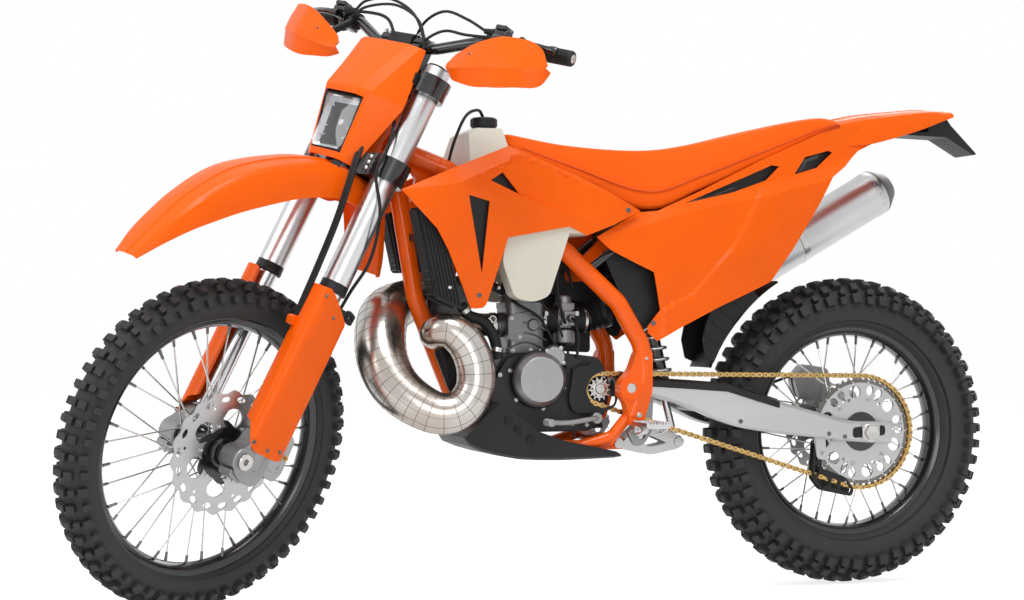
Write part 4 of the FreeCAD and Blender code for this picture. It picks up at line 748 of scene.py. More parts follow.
FENDER_SIDE = [(1.0, -1.0), (0.975, -0.72), (0.92, -0.42), (0.84, -0.2), (0.72, -0.1), (0.70, -0.085),
               (0.46, -0.05), (0.24, -0.02), (0.22, -0.005), (0.1, 0.0)]


def fender(crest, thick, steps, ridge):
    """A guard along a crest of (x, z, half width, drop); its flanks lie a ridge lower than its crown."""
    section = [(-share, rise) for share, rise in FENDER_SIDE] + [(0.0, 0.0)] + FENDER_SIDE[::-1]
    line = spline(crest, steps)
    rows = []
    for index, (x, z, half, drop) in enumerate(line):
        ahead, behind = line[min(index + 1, len(line) - 1)], line[max(index - 1, 0)]
        normal = Vector((behind[1] - ahead[1], 0, ahead[0] - behind[0])).normalized()
        normal = -normal if normal.z < 0 else normal
        rows.append([Vector((x, share * half, z))
                     + normal * (rise * drop - (ridge if abs(share) > 0.23 else 0.0))
                     for share, rise in section])
    return leaf(rows, thick)


# Steering

X_LEG, Y_LEG, RISER_Y = 22, 108, 52
# The handlebar's left half
BAR = [Vector((40, 0, 942)), Vector((40, 90, 942)), Vector((22, 195, 985)), Vector((-29.5, 405, 1001))]
BAR_END, GRIP_LONG = 405, 122
GRIP_WAY = (BAR[3] - BAR[2]).normalized()


def on_bar(y):
    return BAR[2] + (BAR[3] - BAR[2]) * ((y - BAR[2].y) / (BAR[3].y - BAR[2].y))


def shown(name, shape, mat, stands_for=(), **rest):
    return make(name, shape, STEER, "steering", mat, stands_for, **rest)


def forks():
    tube = lathe([(24.4, 0), (27.4, 0), (28.6, 2), (28.9, 5), (28.9, 240), (28.9, 508), (28.2, 510),
                  (24, 510)], (X_LEG, Y_LEG, 395), segs=56)
    shown("fork_tubes_shown", mirrored(tube), "silver", "fork_tubes", angle=40)
    caps = group(lathe([(24, 0), (24, 4), (22.5, 5.5), (13, 5.5), (13, 6.9), (7, 6.9), (7, 4)],
                       (X_LEG, Y_LEG, 905), segs=40),
                 lathe([(6.5, 0), (6.5, 2.2), (5.5, 2.8)], (X_LEG, Y_LEG, 909), segs=6))
    shown("fork_caps", mirrored(caps), "gloss_black")
    collars = lathe([(25, 0), (28.6, 0.5), (29.8, 3), (29.8, 9), (29.3, 10), (29.3, 21), (28.7, 23)],
                    (X_LEG, Y_LEG, 386), segs=48)
    shown("fork_collars", mirrored(collars), "black", slot="rubber", angle=40)

    leg = lathe([(23.9, 0), (23.9, 335)], (X_LEG, Y_LEG, 60), segs=48)
    sleeve = lathe([(22, -18), (26, -16), (27.5, -10), (27.5, 58), (26, 66), (24.2, 68)],
                   (X_LEG, Y_LEG, 8), segs=40)
    lug = soft_plate([(-6, 72), (-6, -18), (8, -41), (40, -41), (68, -30), (81, -5), (78, 16), (62, 32),
                      (50, 72)], 12, 88, 131.5)
    boss = lathe([(25, 0), (28, 3), (28, 50), (26, 52.4)], (FORK_REACH, 79.8, 0), ALONG, 44)
    pinch = soft_plate([(40, -45), (74, -38), (76, -24), (42, -30)], 4, 92, 128)
    shown("fork_legs_shown", mirrored(leg), "chrome", "fork_legs")
    shown("fork_lugs", mirrored(sleeve, lug, boss, pinch), "cast", bevel=2.2, angle=34, segments=3)
    pins = group(*[bolt((x, y, -43), (0.25, 0, -1), 3.2, 4) for x in (50, 64) for y in (101, 119)],
                 bolt((22, 108, -32), (0, 0, -1), 7, 5))
    shown("fork_lug_bolts", mirrored(pins), "steel")

    head = lathe([(6, -3), (6, 5.6), (8, 6.9), (15.5, 6.9), (17.4, 5.4), (17.4, 0), (13.4, -1)],
                 (FORK_REACH, 132.3, 0), ALONG, 36)
    axle = lathe([(12.9, -132), (12.9, 132)], (FORK_REACH, 0, 0), ALONG, 32)
    shown("front_axle_shown", group(mirrored(head), axle), "steel", "front_axle", bevel=0.4)


def fork_guards():
    """Each guard wraps round the front and outside of its leg like a half tube."""
    columns = [(60, 85, 92, 378), (65, 88, 86, 386), (67.6, 96, 84, 388), (68, 108, 78, 388),
               (67, 119, 62, 388), (63, 128, 42, 388), (56, 134, 31, 389), (46, 135.7, 27, 390),
               (30, 135.9, 26, 382), (8, 135.9, 26, 368), (-14, 135.6, 27, 352), (-26, 134.4, 30, 343),
               (-30, 132.6, 36, 336)]
    rows = []
    for step in range(25):
        share = step / 24
        row = []
        for x, y, low, high in columns:
            swell = 0.9 * math.sin(math.pi * share)
            row.append((x, y + swell * 0.4 - 0.4, low + (high - low) * share))
        rows.append(row)
    guard = leaf(rows, -3.0)
    shown("fork_guards_shown", mirrored(guard), "orange", "fork_guards", bevel=0.9, angle=40)
    screws = group(*[bolt((x, 135.4, z), ALONG, 3.2, 2.4) for x, z in ((58, 44), (16, 40), (-16, 48))],
                   *[bolt((x, 135.4, z), ALONG, 2.8, 2.2) for x, z in ((10, 340), (52, 372))])
    shown("fork_guard_screws", mirrored(screws), "dark_steel")
    ear = group(soft_plate([(-46, 366), (-24, 372), (-20, 350), (-44, 342)], 6, 124, 133,
                           [circle(-34, 357, 4.2, 14)]), block((-26, 126, 346), (4, 131, 366)))
    shown("hose_holder", ear, "black", bevel=1.2)


def clamp_outline():
    arc = [(X_LEG + 40.6 * math.cos(a), Y_LEG + 40.6 * math.sin(a))
           for a in (math.radians(222 - 26 * step) for step in range(11))]
    half = [(-29, 0), (-26, 14), (-16, 30), (-13, 52),
            (-12, 74)] + arc + [(50, 66), (43, 50), (38, 26), (40, 0)]
    return soft_loop(half + [(x, -y) for x, y in half[-2:0:-1]], 5, 2)


def clamps():
    outline = clamp_outline()
    holes = [circle(X_LEG, side * Y_LEG, 29.3, 40) for side in (-1, 1)]
    waist = [soft_loop([(4, side * 34), (30, side * 34), (26, side * 62), (0, side * 58)], 6)
             for side in (-1, 1)]
    low = laid(plate(outline, 640.2, 689.8, holes))
    high = laid(plate(outline, 840.2, 870, holes + waist))
    rims = mirrored(laid(plate(circle(X_LEG, Y_LEG, 40.6, 48), 866, 883.8, [circle(X_LEG, Y_LEG, 29.3, 48)])))
    shown("lower_clamp_shown", low, "gloss_black", "lower_clamp", bevel=2.4, angle=30, segments=3)
    stem = lathe([(14, 0), (14, 150)], (0, 0, 690), segs=24)
    nut = lathe([(19, 0), (19, 9), (16, 12), (8, 12), (8, 6)], (0, 0, 870), segs=6)
    risers = group(*[block((20, side * RISER_Y - 14, 884), (60, side * RISER_Y + 14, 930))
                     for side in (-1, 1)])
    caps = group(*[soft_plate([(20, 944), (60, 944), (58, 957), (48, 961), (32, 961), (22, 957)], 4,
                              side * RISER_Y - 13.5, side * RISER_Y + 13.5) for side in (-1, 1)])
    halves = group(*[soft_plate([(20, 928), (60, 928), (60, 942), (20, 942)], 3, side * RISER_Y - 13.8,
                                side * RISER_Y + 13.8, [circle(40, 942.0, 12.6, 24)]) for side in (-1, 1)])
    shown("upper_clamp_shown", group(high, rims, risers, halves, caps, stem), "gloss_black", "upper_clamp",
          bevel=1.8, angle=30, segments=3)
    shown("stem_nut", nut, "steel", bevel=0.8)
    bolts = Shape()
    for side in (-1, 1):
        for z in (652, 665, 678, 862):
            bolts.join(bolt((X_LEG + 39, side * (Y_LEG - 22), z), (0.72, side * -0.7, 0), 3.6, 5))
        for x in (25, 55):
            for y in (side * RISER_Y - 8, side * RISER_Y + 8):
                bolts.join(bolt((x, y, 960), UP, 3.4, 5))
    shown("clamp_bolts", bolts, "steel")


def bars():
    path = [Vector((point.x, -point.y, point.z)) for point in reversed(BAR[1:])] + BAR[1:]
    shown("handlebar_shown", sweep(rounded(path, 70), 11.9, 24), "gloss_black", "handlebar")
    pad = soft_plate([(22, 930), (62, 930), (64, 962), (22, 964)], 9, -36, 36)
    shown("bar_pad", pad, "black", bevel=3.5, segments=3)
    start, way = on_bar(BAR_END - GRIP_LONG), GRIP_WAY
    profile = [(12.4, 0), (24, 0.5), (25.2, 2.5), (24, 5), (17.4, 7)]
    for ridge in range(21):
        at = 9.5 + 5.1 * ridge
        profile += [(15.6, at), (16.5, at + 0.7), (16.5, at + 3.2), (15.6, at + 3.9)]
    profile += [(16.4, 118), (16.4, 124), (15, 126.5), (6, 126.8)]
    grips = lathe(profile, start, way, 40)
    shown("grips_shown", mirrored(grips), "rubber", "grips", angle=40)
    ends = lathe([(9, 0), (9, 1.8), (6, 2.6), (3, 2.6), (3, 0.5)], start + way * 126.6, way, 18)
    shown("bar_ends", mirrored(ends), "steel")


def controls():
    left, way = on_bar(261), GRIP_WAY
    perch = lathe([(12.2, -13), (18, -13), (19.4, -11), (19.4, 11), (18, 13), (12.2, 13)], left, way, 24)
    arm = sweep([left + Vector((10, 0, 0)), left + Vector((26, 2, -2)), left + Vector((44, 2, -4))],
                [11, 9, 8], 12, flat=0.8)
    cup = lathe([(8, -2), (11, 0), (11, 34), (9.5, 36), (6, 38)], left + Vector((30, -20, 12)), ALONG, 24)
    lid = block(left + Vector((18, -18, 18)), left + Vector((44, 12, 27)))
    switch = group(lathe([(12.2, -10), (19, -10), (20, -8), (20, 8), (19, 10), (12.2, 10)],
                         on_bar(224), way, 24),
                   block(on_bar(224) + Vector((-10, -11, -24)), on_bar(224) + Vector((12, 9, -6))))
    boot = lathe([(3.8, 0), (6.2, 1), (5.0, 5), (6.6, 8), (5.2, 12), (7.2, 16), (5.6, 20), (8.2, 25),
                  (8.6, 30)], left + Vector((33, -52, 12)), ALONG, 18)
    lever = tube([left + Vector((44, -10, -4)), left + Vector((46, 20, -4)),
                  left + Vector((38, 60, -2)), left + Vector((24, 100, 1)), left + Vector((8, 140, 3))], 6,
                 [6.2] * 4 + [5.2] * 10 + [4.6] * 8 + [6.4, 7.2, 6.4], 12, flat=1.35)
    shown("controls_shown", mirrored(perch, arm, cup, lid, switch), "gloss_black", "controls", bevel=1.2)
    shown("control_levers", mirrored(lever), "gloss_black")
    shown("control_boots", mirrored(boot), "rubber", angle=60)
    screws = mirrored(*[bolt(left + Vector((x, y, 26.6)), UP, 2.4, 1.4) for x in (22, 40) for y in (-13, 7)])
    shown("control_screws", screws, "steel")


def handguards():
    """A wide shield with a lower facet that turns back under, on a black arm."""
    plan = [(181, 68), (240, 82), (310, 84), (375, 66), (419, 27)]
    top = spline([(182, 912, 0), (206, 934, 0), (300, 975, 0), (385, 984, 0), (415.5, 952, 0)], 6)
    low = spline([(182.5, 893, 0), (217, 876, 0), (300, 869, 0), (398, 900, 0), (415.7, 945, 0)], 6)
    rows = []
    for share in (0.0, 0.1, 0.22, 0.30, 0.34, 0.5, 0.68, 0.84, 0.95, 1.0):
        row = []
        for (top_y, top_z, none), (low_y, low_z, none) in zip(top, low):
            at_y = min(414.5, low_y + (top_y - low_y) * share) - 3.0
            z = low_z + (top_z - low_z) * share
            bulge = 3.0 * math.sin(math.pi * min(1.0, share * 1.1)) if share > 0.3 else 0.0
            back = 13 * (0.3 - share) / 0.3 if share < 0.3 else 0.0
            row.append((mixed(at_y, plan, 0) - 4.0 + bulge - back, at_y, z))
        rows.append(row)
    shown("handguards_shown", mirrored(leaf(rows, 3.2)), "orange", "handguards", bevel=0.9, angle=26)
    clip = lathe([(12.1, -8), (17.5, -8), (18, -6), (18, 6), (17.5, 8), (12.1, 8)], on_bar(214), GRIP_WAY, 24)
    arm = tube([on_bar(214) + Vector((14, 0, -8)), (54, 222, 946), (70, 232, 922), (74, 262, 912),
                (76, 300, 916)], 5, 6, 10, flat=1.5)
    shown("handguard_arms", mirrored(clip, arm), "black", bevel=1.0)
    bolts = mirrored(bolt((81, 246, 930), (1, -0.05, 0), 3.4, 2.5),
                     bolt((82, 300, 930), (1, 0.05, 0), 3.4, 2.5))
    shown("handguard_bolts", bolts, "dark_steel")


# Half of the mask at three heights: its front corner, knee and back, as (x, y)
MASK = {925: ((93, 70), (80, 96), (68, 102)), 790: ((148, 50), (129, 72), (68, 117)),
        640: ((116, 40), (104, 58), (80, 66))}


def mask_level(z):
    upper, lower = (925, 790) if z >= 790 else (790, 640)
    share = (z - lower) / (upper - lower)
    return [tuple(a * share + b * (1 - share) for a, b in zip(high, low))
            for high, low in zip(MASK[upper], MASK[lower])]


def mask_section(z, edge=None):
    """Half of the mask's section at a height: centre, front corner, the opening's edge, knee, back."""
    front, knee, back = mask_level(z)
    edge = edge or front[1] + 3
    share = max(0.05, (edge - front[1]) / (knee[1] - front[1]))
    side = (front[0] + (knee[0] - front[0]) * share, front[1] + (knee[1] - front[1]) * share)
    mid = (0.5 * (knee[0] + back[0]), 0.5 * (knee[1] + back[1]) + 1.5)
    return [(front[0] + 1.5, 0.0), (front[0] + 0.8, 0.55 * front[1]), front, side, knee, mid, back]


def mask():
    levels = [(925, None), (914, None), (880, None), (835, None), (795, None), (788, 63.5), (776, 63),
              (740, 58.8), (700, 53.9), (654, 48.4), (647, 48.4), (640, None)]
    faces, whole = [], []
    for z, edge in levels:
        half = mask_section(z, edge)
        whole.append([Vector((x, y, z)) for x, y in half[::-1]] + [Vector((x, -y, z)) for x, y in half[1:]])
    count = len(whole[0])
    outer = [point for row in whole for point in row]
    middle = count // 2
    normals = [Vector() for point in outer]
    for near in range(len(whole) - 1):
        open_here = 6 <= near <= 8
        for index in range(count - 1):
            if open_here and middle - 3 <= index < middle + 3:
                continue
            quad = (near * count + index, near * count + index + 1, (near + 1) * count + index + 1,
                    (near + 1) * count + index)
            a, b, c = (outer[corner] for corner in quad[:3])
            normal = (b - a).cross(c - a)
            if normal.dot(a - Vector((0, 0, a.z))) < 0:
                quad, normal = tuple(reversed(quad)), -normal
            faces.append(quad)
            for corner in quad:
                normals[corner] += normal.normalized()
    used = sorted({index for face in faces for index in face})
    place = {index: at for at, index in enumerate(used)}
    skin = [outer[index] for index in used]
    back = [outer[index] - normals[index].normalized() * 3.2 for index in used]
    faces = [tuple(place[index] for index in face) for face in faces]
    total = len(skin)
    borders = {(a, b) for face in faces for a, b in zip(face, face[1:] + face[:1])}
    shell = faces + [tuple(total + index for index in reversed(face)) for face in faces]
    shell += [(b, a, total + a, total + b) for a, b in borders if (b, a) not in borders]
    shell = Shape().add(skin + back, shell)
    tabs = mirrored(block((58, 99, 850), (72, 110, 874)))
    shown("headlight_mask_shown", shell, "orange", "headlight_mask", bevel=1.3, angle=14, segments=3)
    straps = group(tabs, *[leaf([[(x, side * y, z) for x, y in ((104, 30), (112, 40), (104, 56))]
                                 for z in (604, 638)], 3.0) for side in (-1, 1)])
    shown("mask_straps", straps, "black", bevel=0.8)


def lamp():
    """A clear lens over a faceted reflector, in a black surround."""
    corners = [(-62, 775), (-47.4, 654.5), (47.4, 654.5), (62, 775)]
    loop = soft_loop(corners, 8, 3)
    inner = soft_loop([(-57, 771), (-43.5, 659), (43.5, 659), (57, 771)], 9, 3)

    def front(y, z):
        return mask_level(z)[0][0] + 0.5 - 0.0031 * y * y

    count = len(loop)
    rows = [[(front(y, z) - 9, 1.05 * y, 716 + (1.28 if z > 716 else 1.06) * (z - 716)) for y, z in loop],
            [(front(y, z) - 3, y, z) for y, z in loop],
            [(front(y, z) - 0.5, 0.97 * y, 719 + 0.97 * (z - 719)) for y, z in loop],
            [(front(y, z) - 1.5, y, z) for y, z in inner], [(front(y, z) - 9, y, z) for y, z in inner]]
    surround = grid(rows, capped=False)
    shown("headlight_surround", surround, "black", bevel=0.5)
    bowl_rows = []
    x = front(0, 720)
    for share in (1.0, 0.86, 0.7, 0.54, 0.38, 0.22, 0.1):
        bowl_rows.append([(x - 12 - 44 * (1 - share ** 2) - 5 * share * (index % 2), y * share,
                           722 + (z - 722) * share) for index, (y, z) in enumerate(inner)])
    bowl = grid(bowl_rows, capped=False).join(Shape().add(bowl_rows[-1], [tuple(range(count))]))
    shown("headlight_reflector", bowl, "mirror", angle=8)
    ribs = Shape()
    for side in (-1, 1):
        for lift, up in ((42, 1), (14, 1), (-16, 0.6), (-42, 0.2)):
            ribs.join(leaf([[(x - near - deep * (1 - t ** 2), side * (6 + 47 * t * (0.6 + 0.4 * up)),
                              722 + lift * t) for near, deep in ((13, 43), (8, 40))]
                            for t in (0.2, 0.45, 0.7, 0.95)], 1.2))
    shown("headlight_ribs", ribs, "mirror")
    bulb = group(lathe([(16, 0), (16, 5), (12, 9), (9, 10), (9, 20), (7.5, 26), (3, 29)], (x - 52, 0, 722),
                       AHEAD, 28), lathe([(19, 0), (20, 2), (19, 4), (17, 4)], (x - 50, 0, 722), AHEAD, 28))
    shown("headlight_bulb", bulb, "steel")
    lens_rows = [[Vector((front(share * y, 719 + share * (z - 719)) - 3.2 + 3 * (1 - share ** 2),
                          share * y, 719 + share * (z - 719))) for y, z in inner]
                 for share in (1.0, 0.75, 0.5, 0.25, 0.04)]
    pane = grid(lens_rows, capped=False).join(Shape().add(lens_rows[-1], [tuple(range(count))]))
    backs = [[point - Vector((2.0, 0, 0)) for point in row] for row in lens_rows]
    pane.join(grid(backs, capped=False)).join(Shape().add(backs[-1], [tuple(range(count))]))
    pane.join(grid([lens_rows[0], backs[0]], capped=False))
    shown("headlight_lens", pane, "clear", "headlight")
    housing = grid([[(86, 0.9 * y, 719 + 0.9 * (z - 719)) for y, z in loop],
                    [(front(0, 719) - 26, 0.98 * y, 719 + 0.98 * (z - 719)) for y, z in loop]])
    shown("headlight_back", housing, "black")


def front_fender():
    crest = [(446, 262, 33, 8), (424, 328, 52, 24), (384, 420, 62, 55), (314, 514, 72, 74),
             (201, 593, 74, 72), (98, 636, 73, 68), (66, 638.8, 72, 66), (-10, 638.6, 66, 58),
             (-44, 633, 58, 40)]
    shown("front_fender_shown", fender(crest, 3.2, 6, 1.4), "orange", "front_fender", bevel=0.8, angle=30)
    tail = [(-34, 633, 58, 44), (-66, 612, 57, 34), (-94, 570, 56, 28), (-122, 522, 54, 26),
            (-140, 482, 50, 20)]
    shown("front_fender_tail", fender(tail, 3.0, 6, 1.2), "orange", bevel=0.8, angle=30)
    bolts = group(*[bolt((x, y, 637.8), UP, 3.6, 1.2) for x in (2, 52) for y in (-52, 52)])
    shown("front_fender_bolts", bolts, "dark_steel")


def front_hoses():
    """The brake and meter lines up the front of the left leg, in their clamp on the guard."""
    line = [(-34, 76, 104), (4, 84, 150), (48, 92, 220), (64, 92, 300), (72, 93, 420), (80, 93, 520),
            (90, 89, 600), (92, 80, 650), (84, 62, 704), (72, 40, 770)]
    lines = [tube([Vector(point) + Vector((0, gap, 0)) for point in line], 6, 4.2, 10)
             for gap in (-4.6, 4.6)]
    shown("front_hoses", group(*lines), "rubber")
    clamp = soft_plate([(40, 292), (76, 290), (80, 308), (42, 322)], 5, 82, 102)
    shown("front_hose_clamp", clamp, "orange", bevel=2.4)


def front_brake():
    outline = soft_loop([(-91, 10), (-78, -13), (-45, -8), (-35, 20), (-39, 78), (-62, 97), (-87, 84)], 9)
    halves = group(plate(outline, 45, 57.5), plate(outline, 66.5, 83.2))
    bridge = group(*[soft_plate(points, 5, 56, 68)
                     for points in ([(-91, 12), (-80, -11), (-78.5, 4), (-84, 24)],
                                    [(-90, 60), (-86, 84), (-62, 97), (-64, 78)])])
    pots = group(*[lathe([(17, 0), (17, 4), (15, 6), (8, 6.4), (7, 5)], (x, 81.5, z), ALONG, 32)
                   for x, z in ((-64, 22), (-62, 62))])
    lug = soft_plate([(-58, 8), (-8, 8), (-8, 68), (-58, 82)], 8, 80, 97, [circle(-34, 42, 12, 20)])
    shown("front_caliper_shown", group(halves, bridge, pots, lug), "cover", "front_caliper",
          bevel=1.6, segments=3)
    pins = group(*[bolt((x, 83, z), ALONG, 4.2, 5) for x, z in ((-82, 44), (-44, 42), (-66, 92))],
                 *[bolt((-18, 97, z), ALONG, 5, 5) for z in (18, 58)],
                 lathe([(2.6, -30), (2.6, 12)], (-52, 70, 88), ALONG, 10))
    shown("front_caliper_pins", pins, "gold")


def cables():
    hose = [(-52, 82, 98.5), (-38, 96, 180), (-12, 114, 300), (-13, 120, 400), (-4, 144, 480),
            (34, 154, 570), (70, 130, 640), (66, 124, 690), (60, 104, 750), (57, 70, 800), (56, 36, 850),
            (62, 6, 910), (62, -34, 962), (60, -90, 992)]
    left = on_bar(261)
    right = Vector((left.x, -left.y, left.z))
    shown("front_cables_shown", tube(hose + [right + Vector((30, 21, 12))], 6, 3.6, 10), "rubber",
          "front_cables")
    runs = [[left + Vector((33, -50, 12)),
             (62, 168, 1012), (66, 96, 1020), (48, 30, 990), (22, 10, 930), (2, 24, 880)],
            [left + Vector((30, -22, 2)),
             (56, 180, 980), (66, 120, 976), (62, 70, 940), (48, 64, 890), (44, 60, 850)],
            [right + Vector((33, 50, 12)),
             (70, -150, 1016), (76, -70, 1026), (66, 10, 1004), (50, 60, 950), (36, 62, 886)],
            [right + Vector((20, 30, -4)), (72, -140, 1000), (80, -40, 1012), (74, 46, 986), (62, 84, 930),
             (52, 76, 880)], ]
    shown("bar_cables", group(*[tube(run, 7, 3.1, 10) for run in runs]), "rubber")


forks()
fork_guards()
clamps()
bars()
controls()
handguards()
mask()
lamp()
front_fender()
front_hoses()
front_brake()
cables()


# Chassis

# The countershaft, the swingarm's pivot, the cylinder's bore, the intake, the cases' faces and the chain
SHAFT_X, SHAFT_Z = -106, 454
PIVOT_X, PIVOT_Z = -163, 456
BORE_X = 48
INTAKE = (5.7, 0, 604)
COVER_Y = 80.3
CHAIN_Y = 78
CHAIN_PITCH, CHAIN_LINKS = 15.875, 114


def held(name, shape, mat, stands_for=(), **rest):
    return make(name, shape, GROUND, "chassis", mat, stands_for, **rest)


def weld(foot, axis, radius):
    """The bead round a tube where another meets it."""
    return hoop([(radius - 0.6, -2.4), (radius + 1.0, -1.2), (radius + 1.2, 1.0), (radius - 0.6, 2.4)],
                32, axis, foot)


def frame_piece():
    main = sweep(rounded([(352, 14, 975), (235, 50, 925), (-26, 92, 747), (-138, 107, 640),
                          (-192, 108, 550), (-198, 108, 480), (-168, 108, 395)], 60), 19.7, 24)
    cradle = sweep(rounded([(-176, 108, 412), (-128, 96, 351), (-60, 88, 332), (100, 88, 334),
                            (180, 44, 388), (206, 8, 458)], 30), 12.8, 20)
    down = sweep(rounded([(360, 0, 985), (331, 0, 915), (286, 0, 650), (245, 0, 545), (205, 0, 448)],
                         150), 18.8, 28)
    low = Vector((694.1, 0, 325.8)) + STEER_AXIS * 691
    head = lathe([(15, 0), (31.5, 0), (32, 2), (32, 14), (30, 18), (30, 130), (32, 134), (32, 146),
                  (31.5, 148), (15, 148)], low, STEER_AXIS, 40)
    joints = group(weld((246, 46.6, 929.7), (117, -36, 50), 19.6), weld((331, 0, 912), (0.17, 0, 1), 18.8))
    held("frame_tubes", group(mirrored(main, cradle, joints), down, head), "orange_paint", "frame", angle=44)
    forging = soft_plate([(-212, 540), (-178, 540), (-160, 492), (-137, 470),
                          (-136, 440), (-150, 424), (-160, 372), (-190, 378), (-212, 450)], 14, 95, 125.5,
                         [circle(PIVOT_X, PIVOT_Z, 10.8, 28)], steps=6)
    boss = plate(circle(PIVOT_X, PIVOT_Z, 26, 48), 120, 128.0, [circle(PIVOT_X, PIVOT_Z, 10.8, 28)])
    gusset = soft_plate([(335, 960), (250, 925), (296, 760), (322, 880)], 14, -8.6, 8.6,
                        [soft_loop([(300, 925), (286, 905), (298, 850), (310, 890)], 8)])
    lugs = group(soft_plate([(-92, 694), (-66, 712), (-176, 812), (-214, 812), (-228, 788), (-184, 778)],
                            12, -12.6, 12.6),
                 plate([(-190, 318), (-116, 318), (-116, 350), (-170, 350), (-190, 342)], -17.2, 17.2),
                 sweep([(-128, -98, 345), (-128, 98, 345)], 11.8, 16),
                 sweep([(-80, -96, 700), (-80, 96, 700)], 13.8, 20))
    held("frame_forgings", group(mirrored(forging, boss), gusset, lugs), "orange_paint",
         bevel=2.6, segments=3)
    bolts = group(bolt((-180, 126, 398), ALONG, 4.2, 3), bolt((-196, 126, 520), ALONG, 3.6, 3))
    held("frame_bolts", mirrored(bolts), "steel")


def subframe():
    upper = sweep(rounded([(-75, 100, 712), (-205, 107, 812), (-331, 104, 862), (-632, 78, 974)], 60), 8.8,
                  14)
    lower = sweep(rounded([(-200, 105, 575), (-340, 107, 665), (-480, 103, 760), (-600, 80, 958)], 80), 8.8,
                  14)
    across = sweep([(-628, -86, 980), (-628, 86, 980)], 7.8, 12)
    pads = mirrored(block((-540, 76, 925), (-500, 90, 950)))
    held("subframe_shown", group(mirrored(upper, lower), across, pads), "gloss_black", "subframe")


def engine():
    box = soft_loop([(-130, 405), (-136, 470), (-112, 522), (-30, 531.8), (105, 531.8), (138, 480),
                     (146, 410), (118, 362), (-92, 362)], 16, 4)
    crank = soft_loop([(-56, 366), (-56, 526), (100, 526), (132, 478), (140, 412), (114, 366)], 18, 4)
    ribs = group(*[block((x, -63, 368), (x + 4, 66.5, 432)) for x in (-118, -104, -90)],
                 *[plate(circle(x, z, r, 32), 60, 69.5)
                   for x, z, r in ((-106, 454, 27), (-70, 400, 20), (-96, 498, 15))],
                 plate(scaled(box, 1.006), -1.4, 1.4))
    held("engine_case_shown", group(plate(box, -63.6, 63.6), plate(crank, -79.6, 79.6), ribs), "case",
         "engine_case", bevel=2.4, segments=2)
    shaft = lathe([(11.8, 0), (11.8, 44), (10, 46), (6, 46), (6, 40)], (SHAFT_X, 40, SHAFT_Z), ALONG, 24)
    held("gear_shaft", shaft, "steel")
    base = lathe([(61.9, 0), (62, 14), (60.6, 17), (57.8, 18.4), (57.4, 20)], (37, COVER_Y, 476), ALONG, 96)
    dome = lathe([(25.8, 0), (26, 9), (24.8, 11)], (2, COVER_Y, 524), ALONG, 60)
    held("engine_cover_bases", group(base, dome), "case", bevel=0.5)
    left = lathe([(57.6, 17), (57.9, 20), (57.2, 21.6), (48.4, 32.8), (47.4, 33.6), (46.4, 33.9),
                  (30, 33.8), (10, 34.0), (6, 34.4), (0, 34.5)], (37, COVER_Y, 476), ALONG, 96)
    small = lathe([(24.8, 9), (24.8, 12), (24, 14.4), (20.4, 19), (19.4, 19.6), (0, 19.8)],
                  (2, COVER_Y, 524), ALONG, 60)
    right = lathe([(77.6, 0), (77.8, 26), (75, 32), (67, 39), (64, 39.8), (60, 38.6), (0, 38.2)],
                  (-8, -COVER_Y, 452), -ALONG, 96)
    pump = lathe([(30, 0), (30, 22), (27.6, 27), (20, 28), (8, 28), (7, 24)], (84, -COVER_Y, 440), -ALONG, 56)
    spout = tube([(84, -96, 440), (106, -98, 452), (122, -96, 474), (126, -90, 500)], 5, 9, 14)
    held("engine_covers_shown", group(left, small, right, pump, spout), "cover", "engine_covers", bevel=0.7)
    heads = Shape()
    for x0, z0, r, y, side, count, turn in ((37, 476, 64, 80, 1, 6, 0.3), (2, 524, 22.6, 99.4, 1, 4, 0.6),
                                            (-8, 452, 72, 112, -1, 9, 0.2)):
        for index in range(count):
            a = 2 * math.pi * index / count + turn
            heads.join(bolt((x0 + r * math.cos(a), side * y, z0 + r * math.sin(a)), (0, side, 0), 3.2, 4))
    for x, z in ((-44, 380), (-118, 420), (-122, 478), (-60, 512), (112, 386), (120, 486), (-84, 376)):
        for side in (-1, 1):
            heads.join(bolt((x, side * (63 if x < -50 else 79), z), (0, side, 0), 3.4, 4))
    held("engine_bolts", heads, "steel")


